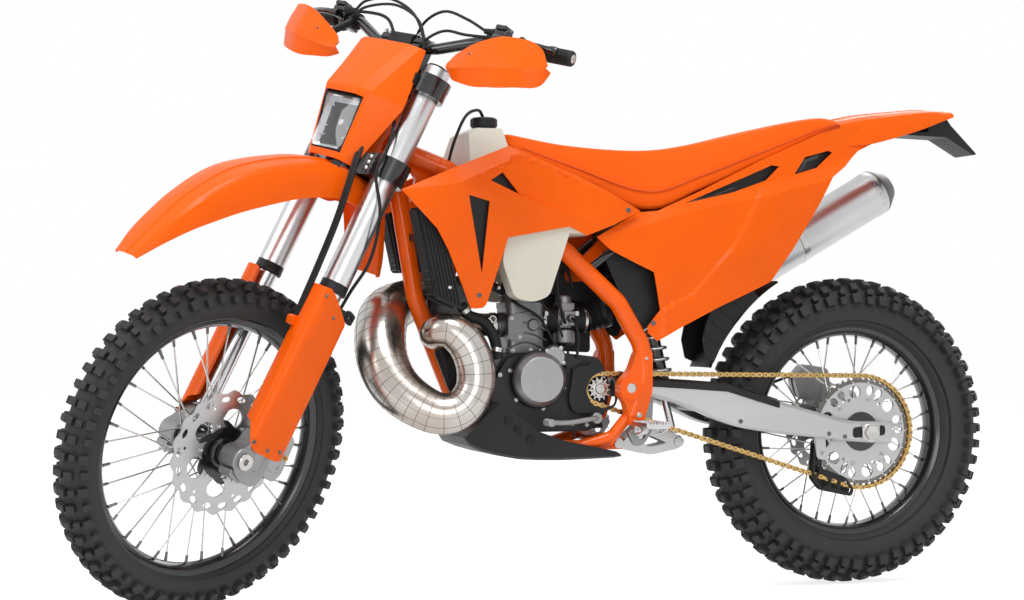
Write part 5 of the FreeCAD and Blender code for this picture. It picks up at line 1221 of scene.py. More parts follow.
def cylinder():
    barrel = laid(soft_plate([(6, -46), (90, -46), (90, 46), (6, 46)], 18, 534, 630, steps=5))
    foot = laid(soft_plate([(3, -47), (93, -47), (93, 47), (3, 47)], 16, 532.4, 541, steps=4))
    neck = laid(soft_plate([(4, -47), (92, -47), (92, 47), (4, 47)], 20, 628, 640.2, steps=4))
    power = group(soft_plate([(58, 556), (92, 560), (92, 612), (60, 620)], 8, 40, 51),
                  lathe([(13, 0), (13, 5), (11, 7), (5, 7)], (34, 45, 592), ALONG, 32))
    ribs = group(*[laid(soft_plate([(5, -47.4), (91, -47.4), (91, 47.4), (5, 47.4)], 19, z, z + 2.6,
                                   steps=4)) for z in (560, 586, 610)])
    head = lathe([(46, 0), (46, 10), (45, 11), (45, 15), (46, 16), (46, 34), (43, 40), (37, 45.4), (15, 46),
                  (14, 42), (10, 42)], (BORE_X, 0, 640.3), UP, 56)
    port = lathe([(24, 40), (27, 42), (27, 50), (25, 52), (25, 57), (27, 58), (27, 57.6), (24, 58)],
                 (BORE_X, 0, 592), AHEAD, 40)
    lines = mirrored(*[tube([(4, 47, z - 14), (24, 47, z - 4), (50, 47, z + 3), (72, 47, z - 2),
                             (92, 47, z - 12)], 5, 2.0, 8) for z in (552, 572, 594, 616)])
    held("cylinder_shown", group(barrel, foot, neck, power, ribs, head, port, lines), "barrel", "cylinder",
         bevel=1.6, segments=3)
    nuts = group(*[bolt((BORE_X + 37 * math.cos(a), 37 * math.sin(a), 682), UP, 4.4, 5)
                   for a in (math.pi * index / 3 + 0.4 for index in range(6))],
                 *[bolt((x, side * 47, 536.6), (0, side, 0), 3.4, 4) for x in (16, 80) for side in (-1, 1)],
                 *[bolt((x, 51, z), ALONG, 3, 3) for x, z in ((66, 566), (84, 606))])
    plug = lathe([(8.8, -2), (8.8, 8), (6, 9), (6, 14)], (BORE_X, 0, 684), UP, 6)
    held("cylinder_nuts", group(nuts, plug), "steel")
    cap = lathe([(6, 12), (8.6, 13), (7.4, 22), (8.8, 30), (8.4, 40)], (BORE_X, 0, 684), UP, 20)
    lead = tube([(BORE_X, 0, 722), (42, 6, 740), (10, 26, 742), (-40, 46, 716), (-52, 58, 672)], 6, 3.6, 10)
    held("plug_cap", group(cap, lead), "rubber")


def carburettor():
    body = lathe([(27, 6), (29.5, 26), (29.6, 36)], INTAKE, -AHEAD, 36)
    boot = lathe([(27.5, 0), (27.5, 8), (26, 10), (24, 26), (22, 36)], INTAKE, -AHEAD, 36)
    boot2 = lathe([(22, 66), (28, 72), (29.8, 76), (29.8, 108), (27, 110)], INTAKE, -AHEAD, 36)
    throat = lathe([(22, 32), (24.5, 34), (24.5, 44), (21.6, 46), (21.6, 62), (25, 64), (25, 74), (22, 76)],
                   INTAKE, -AHEAD, 36)
    bowl = lathe([(9, -4), (12, 0), (20, 1), (23.6, 6), (23.6, 32), (20, 36)], (-54, 0, 548), UP, 36)
    chamber = group(block((-72, -19, 586), (-36, 19, 640)),
                    lathe([(20, 0), (20, 8), (18.4, 10), (18.4, 40), (16, 45), (6, 46)],
                          (-54, 0, 612), UP, 36))
    side = group(lathe([(9, 0), (9, 14), (6.5, 16), (6.5, 22)], (-58, 20, 606), ALONG, 20),
                 lathe([(5, 0), (5, 20), (7.4, 21), (7.4, 26)], (-40, 20, 596), ALONG, 16),
                 block((-70, 19, 590), (-46, 27, 622)))
    held("carburettor_shown", group(throat, bowl, chamber, side), "cast", "carburettor", bevel=1.2)
    held("carburettor_boots", group(boot, boot2, body), "rubber")
    bands = group(*[hoop([(r, -3.5), (r + 1.3, -3.2), (r + 1.3, 3.2), (r, 3.5)], 40, AHEAD, (x, 0, 604))
                    for x, r in ((-1, 27.4), (-26, 24.6), (-72, 27.6), (-98, 29.6))],
                  *[block((x - 4, 24, 612), (x + 4, 36, 622)) for x in (-1, -72)])
    held("hose_bands", bands, "steel", bevel=0.4)
    pipes = group(tube([(-58, 42, 606),
                        (-60, 54, 598), (-66, 60, 560), (-58, 70, 520), (-60, 74, 470)], 6, 3.4, 10),
                  tube([(-40, 46, 596), (-26, 62, 620), (-14, 66, 680), (-20, 70, 740)], 6, 3.4, 10),
                  tube([(-54, 14, 552),
                        (-50, 40, 520), (-44, 58, 460), (-46, 74, 390), (-48, 78, 350)], 6, 3.0, 10),
                  tube([(84, 8, 668), (78, 56, 640), (24, 62, 606), (-10, 76, 540), (-30, 82, 500)], 6, 3.2,
                       10), tube([(-20, 84, 566), (-4, 88, 600), (30, 74, 650), (40, 64, 700)], 6, 2.6, 8))
    held("engine_hoses", pipes, "rubber")


# The pipe's middle line and radius, from the cylinder to the silencer
PIPE = [(106.5, 0, 592, 25), (124, 0, 592, 25), (160, 14, 591, 26), (206, 40, 584, 27), (246, 64, 574, 29),
        (268, 84, 572, 31), (262, 104, 580, 34), (238, 116, 578, 37), (208, 124, 550, 40),
        (191, 128, 505, 41), (194, 130, 456, 41), (222, 128, 418, 42), (266, 118, 408, 44),
        (314, 98, 430, 48), (351, 70, 468, 52), (368, 40, 519, 54), (362, 0, 574, 55), (338, -48, 614, 54),
        (296, -92, 636, 50), (240, -112, 652, 44), (180, -122, 664, 36), (100, -138, 676, 27),
        (0, -152, 684, 20), (-120, -158, 686, 17), (-340, -154, 674, 17), (-440, -151, 666, 17),
        (-470, -150, 668, 17), (-495.4, -150, 678.8, 17), (-516.3, -150, 690.5, 17)]


def exhaust():
    """The chamber: pressed and rolled steel, with fine seams round it and along it."""
    line = spline(PIPE, 6)
    points = [Vector(point[:3]) for point in line]
    radii = [point[3] * 0.992 for point in line]
    held("exhaust_skin", sweep(points, radii, 48), "pipe", "exhaust_pipe", angle=60)
    seams, frames = Shape(), []
    across = basis(points[1] - points[0])[0]
    for index, point in enumerate(points):
        tangent = (points[min(index + 1, len(points) - 1)] - points[max(index - 1, 0)]).normalized()
        across = (across - tangent * across.dot(tangent)).normalized()
        frames.append((point, across, across.cross(tangent), tangent))
    belly, tail, apart = 30, 36, 17.5
    travelled, last = 0.0, 0.0
    for index in range(1, len(points) - tail):
        travelled += (points[index] - points[index - 1]).length
        if travelled - last > apart:
            last = travelled
            point, _, _, tangent = frames[index]
            r = radii[index]
            seams.join(hoop([(r - 0.4, -0.75), (r + 0.3, -0.5), (r + 0.3, 0.5), (r - 0.4, 0.75)], 48,
                            tangent, point))
    for turn in range(0, 360, 30):
        a = math.radians(turn)
        run = [frames[index][0]
               + (frames[index][1] * math.cos(a) + frames[index][2] * math.sin(a)) * (radii[index] + 0.1)
               for index in range(belly, len(points) - tail - 5)]
        seams.join(sweep(run, 0.36, 4))
    held("exhaust_seams", seams, "seam", angle=60)
    collar = group(*[lathe([(r, -1), (r + 2, 0), (r + 2, 9), (r, 10)], foot, way, 40)
                     for foot, way, r in (((108, 0, 592), AHEAD, 25),
                                          ((-470, -150, 668), (-1, 0, 0.24), 17))])
    held("exhaust_collars", collar, "steel")
    hooks = group(*[hoop([(2.2 * math.cos(t) + 7, 2.2 * math.sin(t))
                          for t in (math.pi * k / 3 for k in range(6))], 20, (0.2, 1, 0.2), foot)
                    for foot in ((118, 24, 604), (128, 26, 598))])
    held("exhaust_springs", hooks, "steel")


def silencer():
    foot, way = Vector((-562, -150, 716)), Vector((-0.873, 0, 0.488))
    can = lathe([(20, -52), (21, -50), (22, -44), (30, -34), (50, -6), (54.6, -1), (54.8, 6), (55.8, 8),
                 (55.8, 24), (54.8, 26), (54.8, 372), (55.8, 374), (55.8, 392), (54.8, 394), (54.8, 400)],
                foot, way, 64)
    held("silencer_can", can, "brushed", "silencer", angle=40)
    cap = lathe([(54.6, 399), (55.2, 401), (54, 405), (35, 432), (33, 434), (30, 433), (29, 428), (18, 426),
                 (17.6, 410), (17, 402), (0, 402)], foot, way, 64)
    held("silencer_cap", cap, "cast_dark", angle=40)
    rivets = group(*[lathe([(2.6, 0), (2.2, 1.2), (1, 1.6)], foot + way * at + side * 55.6, side, 10)
                     for at in (16, 383)
                     for side in [Vector((0.488 * math.sin(t), math.cos(t), 0.873 * math.sin(t)))
                                  for t in (2 * math.pi * k / 12 for k in range(12))]])
    strap = hoop([(54.9, -9), (56, -8), (56, 8), (54.9, 9)], 64, way, foot + way * 150)
    held("silencer_rivets", group(rivets, strap), "steel")
    hanger = soft_plate([(-660, 812), (-700, 846), (-690, 868), (-640, 880), (-610, 850)], 10, -98, -92)
    held("silencer_hanger", hanger, "gloss_black", bevel=0.8)


def tank():
    top = [(-62, 898), (104, 970), (107, 1013.8), (166, 1013.8), (188, 1002), (196, 945)]
    flank = [(780, 145), (862, 145), (962, 98), (1016, 60)]
    rows = []
    for x in (-62, -30, 10, 60, 100, 104, 108, 136, 165, 178, 187, 192, 195.6):
        height = mixed(x, top)
        wide = mixed(min(height, 1016), flank)
        knee = min(862, height - 6)
        half = [(0, 782), (120, 782), (141, 786), (145, 798), (145, knee - 8), (143.5, knee)]
        if height > 900:
            between = 0.5 * (knee + height)
            half += [(mixed(between, flank), between)]
        else:
            half += [(141, knee + 2)]
        half += [(wide, height - 5), (wide - 6, height - 1), (0.5 * wide, height), (0, height)]
        rows.append(closed_section(x, half))
    held("fuel_tank_shown", grid(rows), "tank", "fuel_tank", bevel=3, segments=3, angle=24)
    lobe = soft_loop([(-18, 801), (32, 653), (67, 640), (110, 649), (137, 725), (124, 800)], 14, 5)
    held("fuel_tank_lobes", mirrored(plate(lobe, 100, 144.6)), "tank", bevel=9, segments=5)
    cap = lathe([(25.6, 0), (26.4, 1), (26.4, 5), (28.6, 6), (28.6, 21), (27, 24), (23, 25.8), (8, 25.8),
                 (7, 24.6)], (131, 0, 1014.3), UP, 48)
    grips = group(*[block((-1.6, 28.0, 1021), (1.6, 29.3, 1036)).moved(Matrix.Translation((131, 0, 0))
                                                                       @ Matrix.Rotation(t, 4, "Z"))
                    for t in (2 * math.pi * k / 20 for k in range(20))])
    held("tank_cap_shown", group(cap, grips), "black", "tank_cap", bevel=0.6)
    vent = tube([(131, 0, 1038), (150, 20, 1054), (186, 46, 1038), (214, 56, 985),
                 (228, 54, 936)], 6, 3.4, 10)
    held("tank_vent", vent, "rubber")


def radiators():
    core = [(322, 836), (284, 648), (228, 624), (272, 842)]
    short = [(322, 836), (296, 706), (246, 706), (272, 842)]
    near, core_near, core_far, far = 84.4, 92, 142, 149.6
    made, slats, bright = Shape(), Shape(), Shape()
    for side, outline in ((1, core), (-1, short)):
        inner = scaled(outline, 0.9)
        made.join(soft_plate(outline, 5, side * near, side * core_near))
        made.join(soft_plate(outline, 5, side * core_far, side * far))
        made.join(plate(inner, side * (core_near - 2), side * (core_far + 2)))
        (x1, z1), (x2, z2) = outline[0], outline[1]
        for index in range(9):
            y = side * (core_near + 2 + 5.8 * index)
            slats.join(plate([(x1 + 4, z1 - 6), (x2 + 4, z2 + 6), (x2 - 8, z2 + 6), (x1 - 8, z1 - 6)], y,
                             y + side * 2.2))
        for index in range(12):
            share = (index + 0.5) / 12
            x, z = x1 + (x2 - x1) * share, z1 + (z2 - z1) * share
            slats.join(block((x - 3, side * 93, z - 1), (x + 3, side * 146, z + 1)))
        made.join(block((288, side * 10, 771), (304, side * core_near, 785)))
        (x3, z3), (x4, z4) = outline[3], outline[2]
        for index in range(7):
            share = (index + 0.6) / 7
            tops = (x1 + (x3 - x1) * share, z1 + (z3 - z1) * share - 8)
            ends = (x2 + (x4 - x2) * share, z2 + (z4 - z2) * share + 7)
            slats.join(plate([(tops[0] + 1.6, tops[1]), (ends[0] + 1.6, ends[1]), (ends[0] - 1.6, ends[1]),
                              (tops[0] - 1.6, tops[1])], side * 149.4, side * 153.4))
            for step in range(14):
                part = (step + 0.5) / 14
                x, z = tops[0] + (ends[0] - tops[0]) * part, tops[1] + (ends[1] - tops[1]) * part
                slats.join(block((x - 3.2, side * 149, z - 1), (x + 3.2, side * 151.6, z + 1)))
        bright.join(bolt((300, side * 60, 785), UP, 4, 3))
        bright.join(lathe([(4, 0), (4, 3), (2, 4)], (x2 - 30, side * far, z2 + 22), (0, side, 0), 14))
    held("radiators_shown", group(made, slats), "black", "radiators", bevel=0.8, segments=1)
    held("radiator_bolts", bright, "steel")


# The shroud along X: its half width, its two edges and the step below the upper one
SHROUD_PLAN = [(-190, 134), (-60, 150), (60, 158), (200, 176), (380, 192)]
SHROUD_TOP = [(-190, 846), (-9, 905), (104, 946), (239, 886), (370, 867)]
SHROUD_LOW = [(-190, 800), (-9, 827), (104, 864), (239, 886), (370, 867)]
SHROUD_STEP = [(-190, 800), (-100, 806), (-9, 827), (98, 862), (225, 877), (370, 867)]


def shroud_y(x, z):
    above, below = z - mixed(x, SHROUD_TOP), mixed(x, SHROUD_LOW) - z
    y = mixed(x, SHROUD_PLAN) - 0.6
    if above > 0:
        y -= 0.62 * above
    if below > 0:
        y -= 0.085 * below + 0.00022 * below * below
    over = z - mixed(x, SHROUD_STEP)
    if over > 0 and above < 0:
                y -= 8.0 * min(1.0, over / 3.5) * clamped((x + 70) / 150) * clamped((232 - x) / 40)

    if below > 0:
        lean = mixed(x, [(-190, 0), (128, 0), (200, -6), (380, 6)])
        y += lean * min(1.0, below / 40)
    return y


def shrouds():
    outline = [(369, 868), (250, 916.5), (125, 967), (-30, 908), (-110, 873), (-180, 837), (-116, 806),
               (-52, 782), (-11, 800), (128, 775), (169, 636), (176, 628), (196, 626), (204, 628),
               (232, 688), (260, 747), (287, 790)]
    holes = [[(219, 861), (172, 849), (183, 698)], [(169, 893), (141, 911), (101, 865)]]
    creases = [[(366, 867), (239, 886), (173, 916), (108, 944), (60, 928), (-9, 904), (-168, 846)],
               [(236, 885.2), (228, 877.4)], [(98.6, 861.4), (-9, 827), (-100, 806)],
               [(94, 864.6), (-9, 830.6), (-100, 810)], [(224, 876), (216, 862)]]
    left = panel(outline, shroud_y, 3.4, holes, creases, 11.0)
    held("shrouds_shown", mirrored(left), "orange", "shrouds", bevel=0.7, angle=9, segments=1)
    # Black sheets a little behind the two slots: painted shade for the shaded inside seen through them
    dark = [panel(outline, lambda x, z: shroud_y(x, z) - 12, 2.0, step=20)
            for outline in ([(232, 868), (164, 858), (172, 690), (196, 690)],
                            [(176, 898), (140, 918), (92, 862), (104, 856)])]
    held("shroud_slot_shade", mirrored(*dark), "black")
    bolts = mirrored(*[bolt((x, shroud_y(x, z) - 0.2, z), (-0.1, 1, 0), 4.0, 2.0)
                       for x, z in ((-150, 838), (186, 655))])
    held("shroud_bolts", bolts, "dark_steel")


# The side panel: its half width along X, the line its upper band starts at, and its ridge as (z, x)
PANEL_PLAN = [(-60, 130), (-250, 134), (-450, 130), (-600, 114), (-750, 94), (-910, 74)]
BAND = [(-60, 778), (-190, 806), (-282, 836), (-480, 874), (-640, 916), (-760, 960)]
RIDGE = [(630, -242), (660, -300), (760, -392), (880, -462), (960, -500)]


def side_y(x, z):
    y = mixed(x, PANEL_PLAN) - 0.5
    above = z - mixed(x, BAND)
    if above > 0:
        y -= min(0.42 * above, 9 + 0.06 * above)
    behind = mixed(z, RIDGE) - x
    if above <= 30:
        y += 0.5 * min(10.0, max(0.0, behind)) * clamped((30 - above) / 30)
    low = mixed(x, [(-60, 720), (-229, 690), (-400, 730), (-560, 830), (-700, 930)]) - z
    if low > 0:
        y -= 0.10 * low
    return y


def side_panels():
    outline = [(-81, 780), (-112, 753), (-160, 730), (-212, 706), (-222, 660), (-229, 624), (-202, 588),
               (-203, 575), (-225, 557), (-278, 586), (-369, 631), (-466, 673), (-499, 688), (-554, 760),
               (-620, 859), (-658, 924), (-697, 951), (-735, 986), (-790, 1011), (-850, 1030), (-905, 1046),
               (-898, 1054), (-830, 1049), (-740, 1042), (-690, 1037), (-631, 1021), (-480, 957),
               (-331, 886), (-225, 839), (-180, 835)]
    holes = [[(-288, 856), (-505, 946), (-525, 944), (-490, 912), (-406, 883)],
             [(-592, 967), (-656, 984), (-666, 980), (-623, 944), (-563, 927)]]
    creases = [[(-86, 777), (-190, 806), (-282, 836), (-400, 858), (-480, 874), (-640, 916), (-655, 922)],
               [(-190, 816), (-282, 848), (-292, 850)],
               [(-249, 645), (-300, 660), (-392, 760), (-462, 866)],
               [(-262, 645), (-310, 660), (-402, 760), (-472, 866)], [(-700, 960), (-668, 978)]]
    left = panel(outline, side_y, 3.2, holes, creases, 12.0)
    held("side_panels_shown", mirrored(left), "orange", "side_panels", bevel=0.7, angle=9, segments=1)
    # Black sheets a little behind the two vents: painted shade for the shaded inside seen through them
    backs = [panel(loop, lambda x, z: side_y(x, z) - 14, 2.0, step=30)
             for loop in ([(-280, 850), (-500, 956), (-534, 950), (-496, 900), (-404, 872)],
                          [(-584, 966), (-650, 996), (-676, 984), (-626, 934), (-556, 916)])]
    cheek = soft_plate([(-104, 752), (-150, 742), (-222, 716), (-240, 626), (-222, 566), (-204, 566),
                        (-172, 616), (-140, 672)], 8, 96, 100)
    held("side_panel_slot_shade_and_cheek", mirrored(*backs, cheek), "black", bevel=0.8)
    posts = mirrored(*[lathe([(7, 0), (7, reach)], (x, 103, z), ALONG, 14)
                       for x, z, reach in ((-270, 838, 12), (-480, 760, 10))])
    held("side_panel_posts", posts, "black")
    screw = bolt((-214, side_y(-214, 596) - 0.2, 596), ALONG, 4.0, 2.0)
    held("side_panel_bolts", mirrored(screw), "dark_steel")


# The cushion along X: (x, bottom, top, half width at the bottom, half width at the top)
SEAT = [(96, 976, 1006, 52, 44), (-40, 913, 982, 84, 66), (-205, 841, 975, 108, 76),
        (-331, 885, 992, 112, 82), (-500, 959, 1033, 106, 84), (-631, 1018, 1060, 90, 76),
        (-690, 1042, 1058, 82, 70)]


def seat():
    """The cushion: crowned across, tucked under its edge, with a welt along each side."""
    rows = []
    for x, low, high, wide, narrow in spline(SEAT, 8):
        deep = high - low
        half = [(0, low + 0.5), (0.6 * wide, low + 0.5), (wide - 3, low + 1), (wide - 0.8, low + 4),
                (wide - 1.5, low + 0.34 * deep), (narrow + 0.5 * (wide - narrow), low + 0.66 * deep),
                (narrow + 4, high - 8), (narrow, high - 4.4), (narrow - 7, high - 1.6),
                (0.55 * narrow, high - 0.3), (0.25 * narrow, high), (0, high)]
        rows.append(closed_section(x, half))
    cushion = held("seat_cushion", grid(rows), "seat", "seat", angle=50)
    smooth = cushion.modifiers.new("Soften", "SUBSURF")
    smooth.levels = smooth.render_levels = 1
    for side, name in ((1, "left"), (-1, "right")):
        welt = []
        for x, low, high, wide, narrow in spline(SEAT, 8):
            welt.append((x, side * (wide - 1.2), low + 0.3 * (high - low)))
        held(f"seat_welt_{name}", sweep(welt[2:-1], 1.5, 8), "seat_dark")


def airbox():
    outline = [(-150, 700), (-158, 812), (-205, 838), (-331, 882), (-500, 955), (-560, 980), (-580, 960),
               (-556, 880), (-500, 796), (-452, 730), (-420, 700), (-360, 680), (-300, 676)]
    held("airbox_shown", soft_plate(outline, 6, -89.6, 89.6, steps=2), "black", "airbox",
         bevel=4, segments=3)
    wall = soft_plate([(-206, 700), (-222, 604), (-262, 560), (-300, 560), (-330, 620),
                       (-346, 690)], 10, -58, -52)
    boot = lathe([(29, 0), (31, 4), (26, 9), (33, 14), (28, 20), (35, 26), (30, 32), (37, 40), (37, 52)],
                 (-102, 0, 606), (-1, 0, 0.35), 36)
    screen = soft_plate([(-134, 530), (-134, 720), (24, 720), (10, 655), (-2, 640), (-2, 560),
                         (-24, 536)], 10, -52, -47)
    mounts = mirrored(soft_plate([(128, 398), (126, 522), (168, 546), (232, 556), (252, 536), (226, 468),
                                  (206, 425), (168, 392)], 10, 24, 30,
                                 [soft_loop([(156, 440), (156, 500), (200, 516), (196, 470)], 8)]))
    brace = block((150, -60, 600), (240, -30, 690))
    held("engine_mounts", group(mounts, brace), "gloss_black", bevel=1.6)
    tray = soft_plate([(-30, 660), (-20, 744), (-146, 744), (-146, 640), (-110, 640)], 10, -66, -30)
    coil = group(block((-6, -70, 650), (40, -48, 700)),
                 soft_plate([(-120, 560), (-60, 540), (-60, 640), (-128, 650)], 8, -74, -60))
    held("airbox_fittings", group(wall, boot, tray, coil, screen), "black", bevel=1.6)


def rear_fender():
    crest = [(-690.3, 1056.8, 84, 62), (-760, 1071.4, 82, 68), (-840, 1081.4, 76, 58),
             (-930, 1090.2, 66, 40), (-1004, 1087.4, 52, 12)]
    held("rear_fender_shown", fender(crest, 3.6, 8, 1.4), "orange", "rear_fender", bevel=0.8, angle=30)
    holder = soft_plate([(-858, 1032), (-882, 1078), (-984, 1085),
                         (-1004, 1058), (-1074, 992), (-1066, 989), (-992, 1029)], 4, -39.6, 39.6,
                        [soft_loop([(-880, 1038), (-896, 1068), (-950, 1072), (-944, 1040)], 6)], steps=3)
    held("plate_holder_shown", holder, "black", "plate_holder", bevel=1.6)
    tail = soft_plate([(-1002, 1050), (-1016, 1044), (-1036, 1020), (-1022, 1024)], 3, -30, 30)
    held("tail_lamp", tail, "red", bevel=1.5)


def mud_flap():
    rows = []
    for step in range(17):
        a = math.radians(22 + 38 * step / 16)
        bend = 1.0 - 0.12 * abs(step - 8) / 8
        rows.append([(AXLE.x + r * math.cos(a), y * bend, AXLE.z + r * math.sin(a))
                     for y, r in ((-62, 388.6), (-56, 391.0), (-30, 390.9), (0, 391.4), (30, 390.9),
                                  (56, 391.0), (62, 388.6))])

    def fan(spots, near, far):
        """A plate whose corners are (angle, radius) spots round the rear axle."""
        return plate([(AXLE.x + r * math.cos(t), AXLE.z + r * math.sin(t)) for t, r in spots], near, far)

    arc = [math.radians(24 + 4.5 * step) for step in range(7)]
    edge = zip(arc[::-1], (450, 456, 458, 456, 448, 436, 410))
    wing = fan([(t, 389.5) for t in arc] + list(edge), 56, 60)
    folds = [fan([(t, 394), (t + 0.012, 394), (t + 0.012, 438), (t, 438)], 59, 62)
             for t in (0.52, 0.6, 0.68, 0.76)]
    held("mud_flap_shown", group(leaf(rows, 3.2), mirrored(wing, *folds)), "black", "mud_flap", bevel=0.8)


def skid_plate():
    rows = []
    belly = [(-146, 311), (-134, 309), (-60, 307), (-8, 306.4), (40, 307.6), (83, 310.4), (130, 319),
             (165, 329), (194, 341), (204.6, 357)]
    for x, z in belly:
        high = mixed(x,
                     [(-146, 312), (-134, 320), (-35, 341), (26, 355), (83, 395), (134, 429), (205, 357.6)])
        high = max(high, z + 1.5)
        tall = high - z
        half = [(0, z), (60, z), (94, z), (101.5, z + min(4, 0.3 * tall)), (104.7, z + min(12, 0.6 * tall)),
                (104.8, z + max(0.8 * tall, min(14, 0.9 * tall))), (104.8, high)]
        rows.append([(x, -y, w) for y, w in half[::-1]] + [(x, y, w) for y, w in half[1:]])
    held("skid_plate_shown", leaf(rows, 3.6), "black", "skid_plate", bevel=1.2, angle=26, segments=2)
    # Near-black patches on the plate's sides and belly: painted shade standing in for its shadowed holes and
    # slots
    hole_shade = group(*[mirrored(soft_plate([(x, z), (x + 15, z + 5), (x + 11, z + 19), (x - 4, z + 14)],
                                        2, 103, 112.0)) for x, z in ((84, 362), (56, 340), (106, 380))],
                  *[block((20, y, 306), (46, y + 14, 307)) for y in (-70, -40, -10, 20, 50)])
    held("skid_plate_hole_shade", hole_shade, "void")
    front = leaf([[(134 + 70 * t, y, 429 - 72 * t) for y in (-104, -60, 0, 60, 104)]
                  for t in (0, 0.5, 1)], 3.6)
    held("skid_plate_nose", front, "black", bevel=1.0)


def shock():
    top, bottom = Vector((-207, 0, 776)), Vector((-318, 0, 332))
    way = (bottom - top).normalized()
    across, up = basis(way)
    turns, steps = 10, 26
    coil = []
    for index in range(turns * steps + 1):
        a = 2 * math.pi * index / steps
        rise = 78 + 254 * index / (turns * steps)
        coil.append(top + way * rise + (across * math.cos(a) + up * math.sin(a)) * 26.4)
    held("shock_spring", sweep(coil, 4.6, 12), "silver", "shock")
    body = lathe([(16, 3), (20.5, 6), (20.5, 62), (30.6, 64), (30.6, 72), (20, 74), (20, 330), (30.6, 332),
                  (30.6, 342), (20, 345)], top, way, 40)
    shaft = lathe([(8.8, 340), (8.8, 440)], top, way, 24)
    eye = lathe([(8.6, -14), (15, -14), (15, 14), (8.6, 14)], bottom, ALONG, 32)
    held("shock_body", group(body, eye), "gloss_black", bevel=0.6)
    held("shock_shaft", shaft, "chrome")
    pot = lathe([(10, 0), (24, 2), (25, 6), (25, 84), (22, 90), (8, 91)], (-172, 40, 700),
                (-0.24, 0, 0.97), 40)
    held("shock_reservoir", pot, "cover", bevel=0.8)


def linkage():
    outline = soft_loop([(-186, 338), (-178, 320), (-250, 304), (-316, 316), (-334, 334), (-320, 346),
                         (-240, 376), (-226, 374)], 9)
    window = soft_loop([(-216, 338), (-248, 322), (-290, 330), (-244, 350)], 8)
    plates = mirrored(plate(outline, 18, 24, [window]))
    pins = group(*[lathe([(4, -half - 3), (11, -half - 3), (12, -half), (7.9, -half),
                          (7.9, half), (12, half), (11, half + 3), (4, half + 3)], (x, 0, z), ALONG, 24)
                   for x, z, half in ((-174, 332, 24), (-318, 332, 24), (-236, 362, 37))])
    held("linkage_shown", group(plates, pins), "alloy", "linkage", bevel=1.2)


def arm_line(x):
    """The height of the swingarm's middle line, from its pivot to the axle."""
    return PIVOT_Z + (x - PIVOT_X) * (PIVOT_Z - AXLE.z) / (PIVOT_X - AXLE.x)


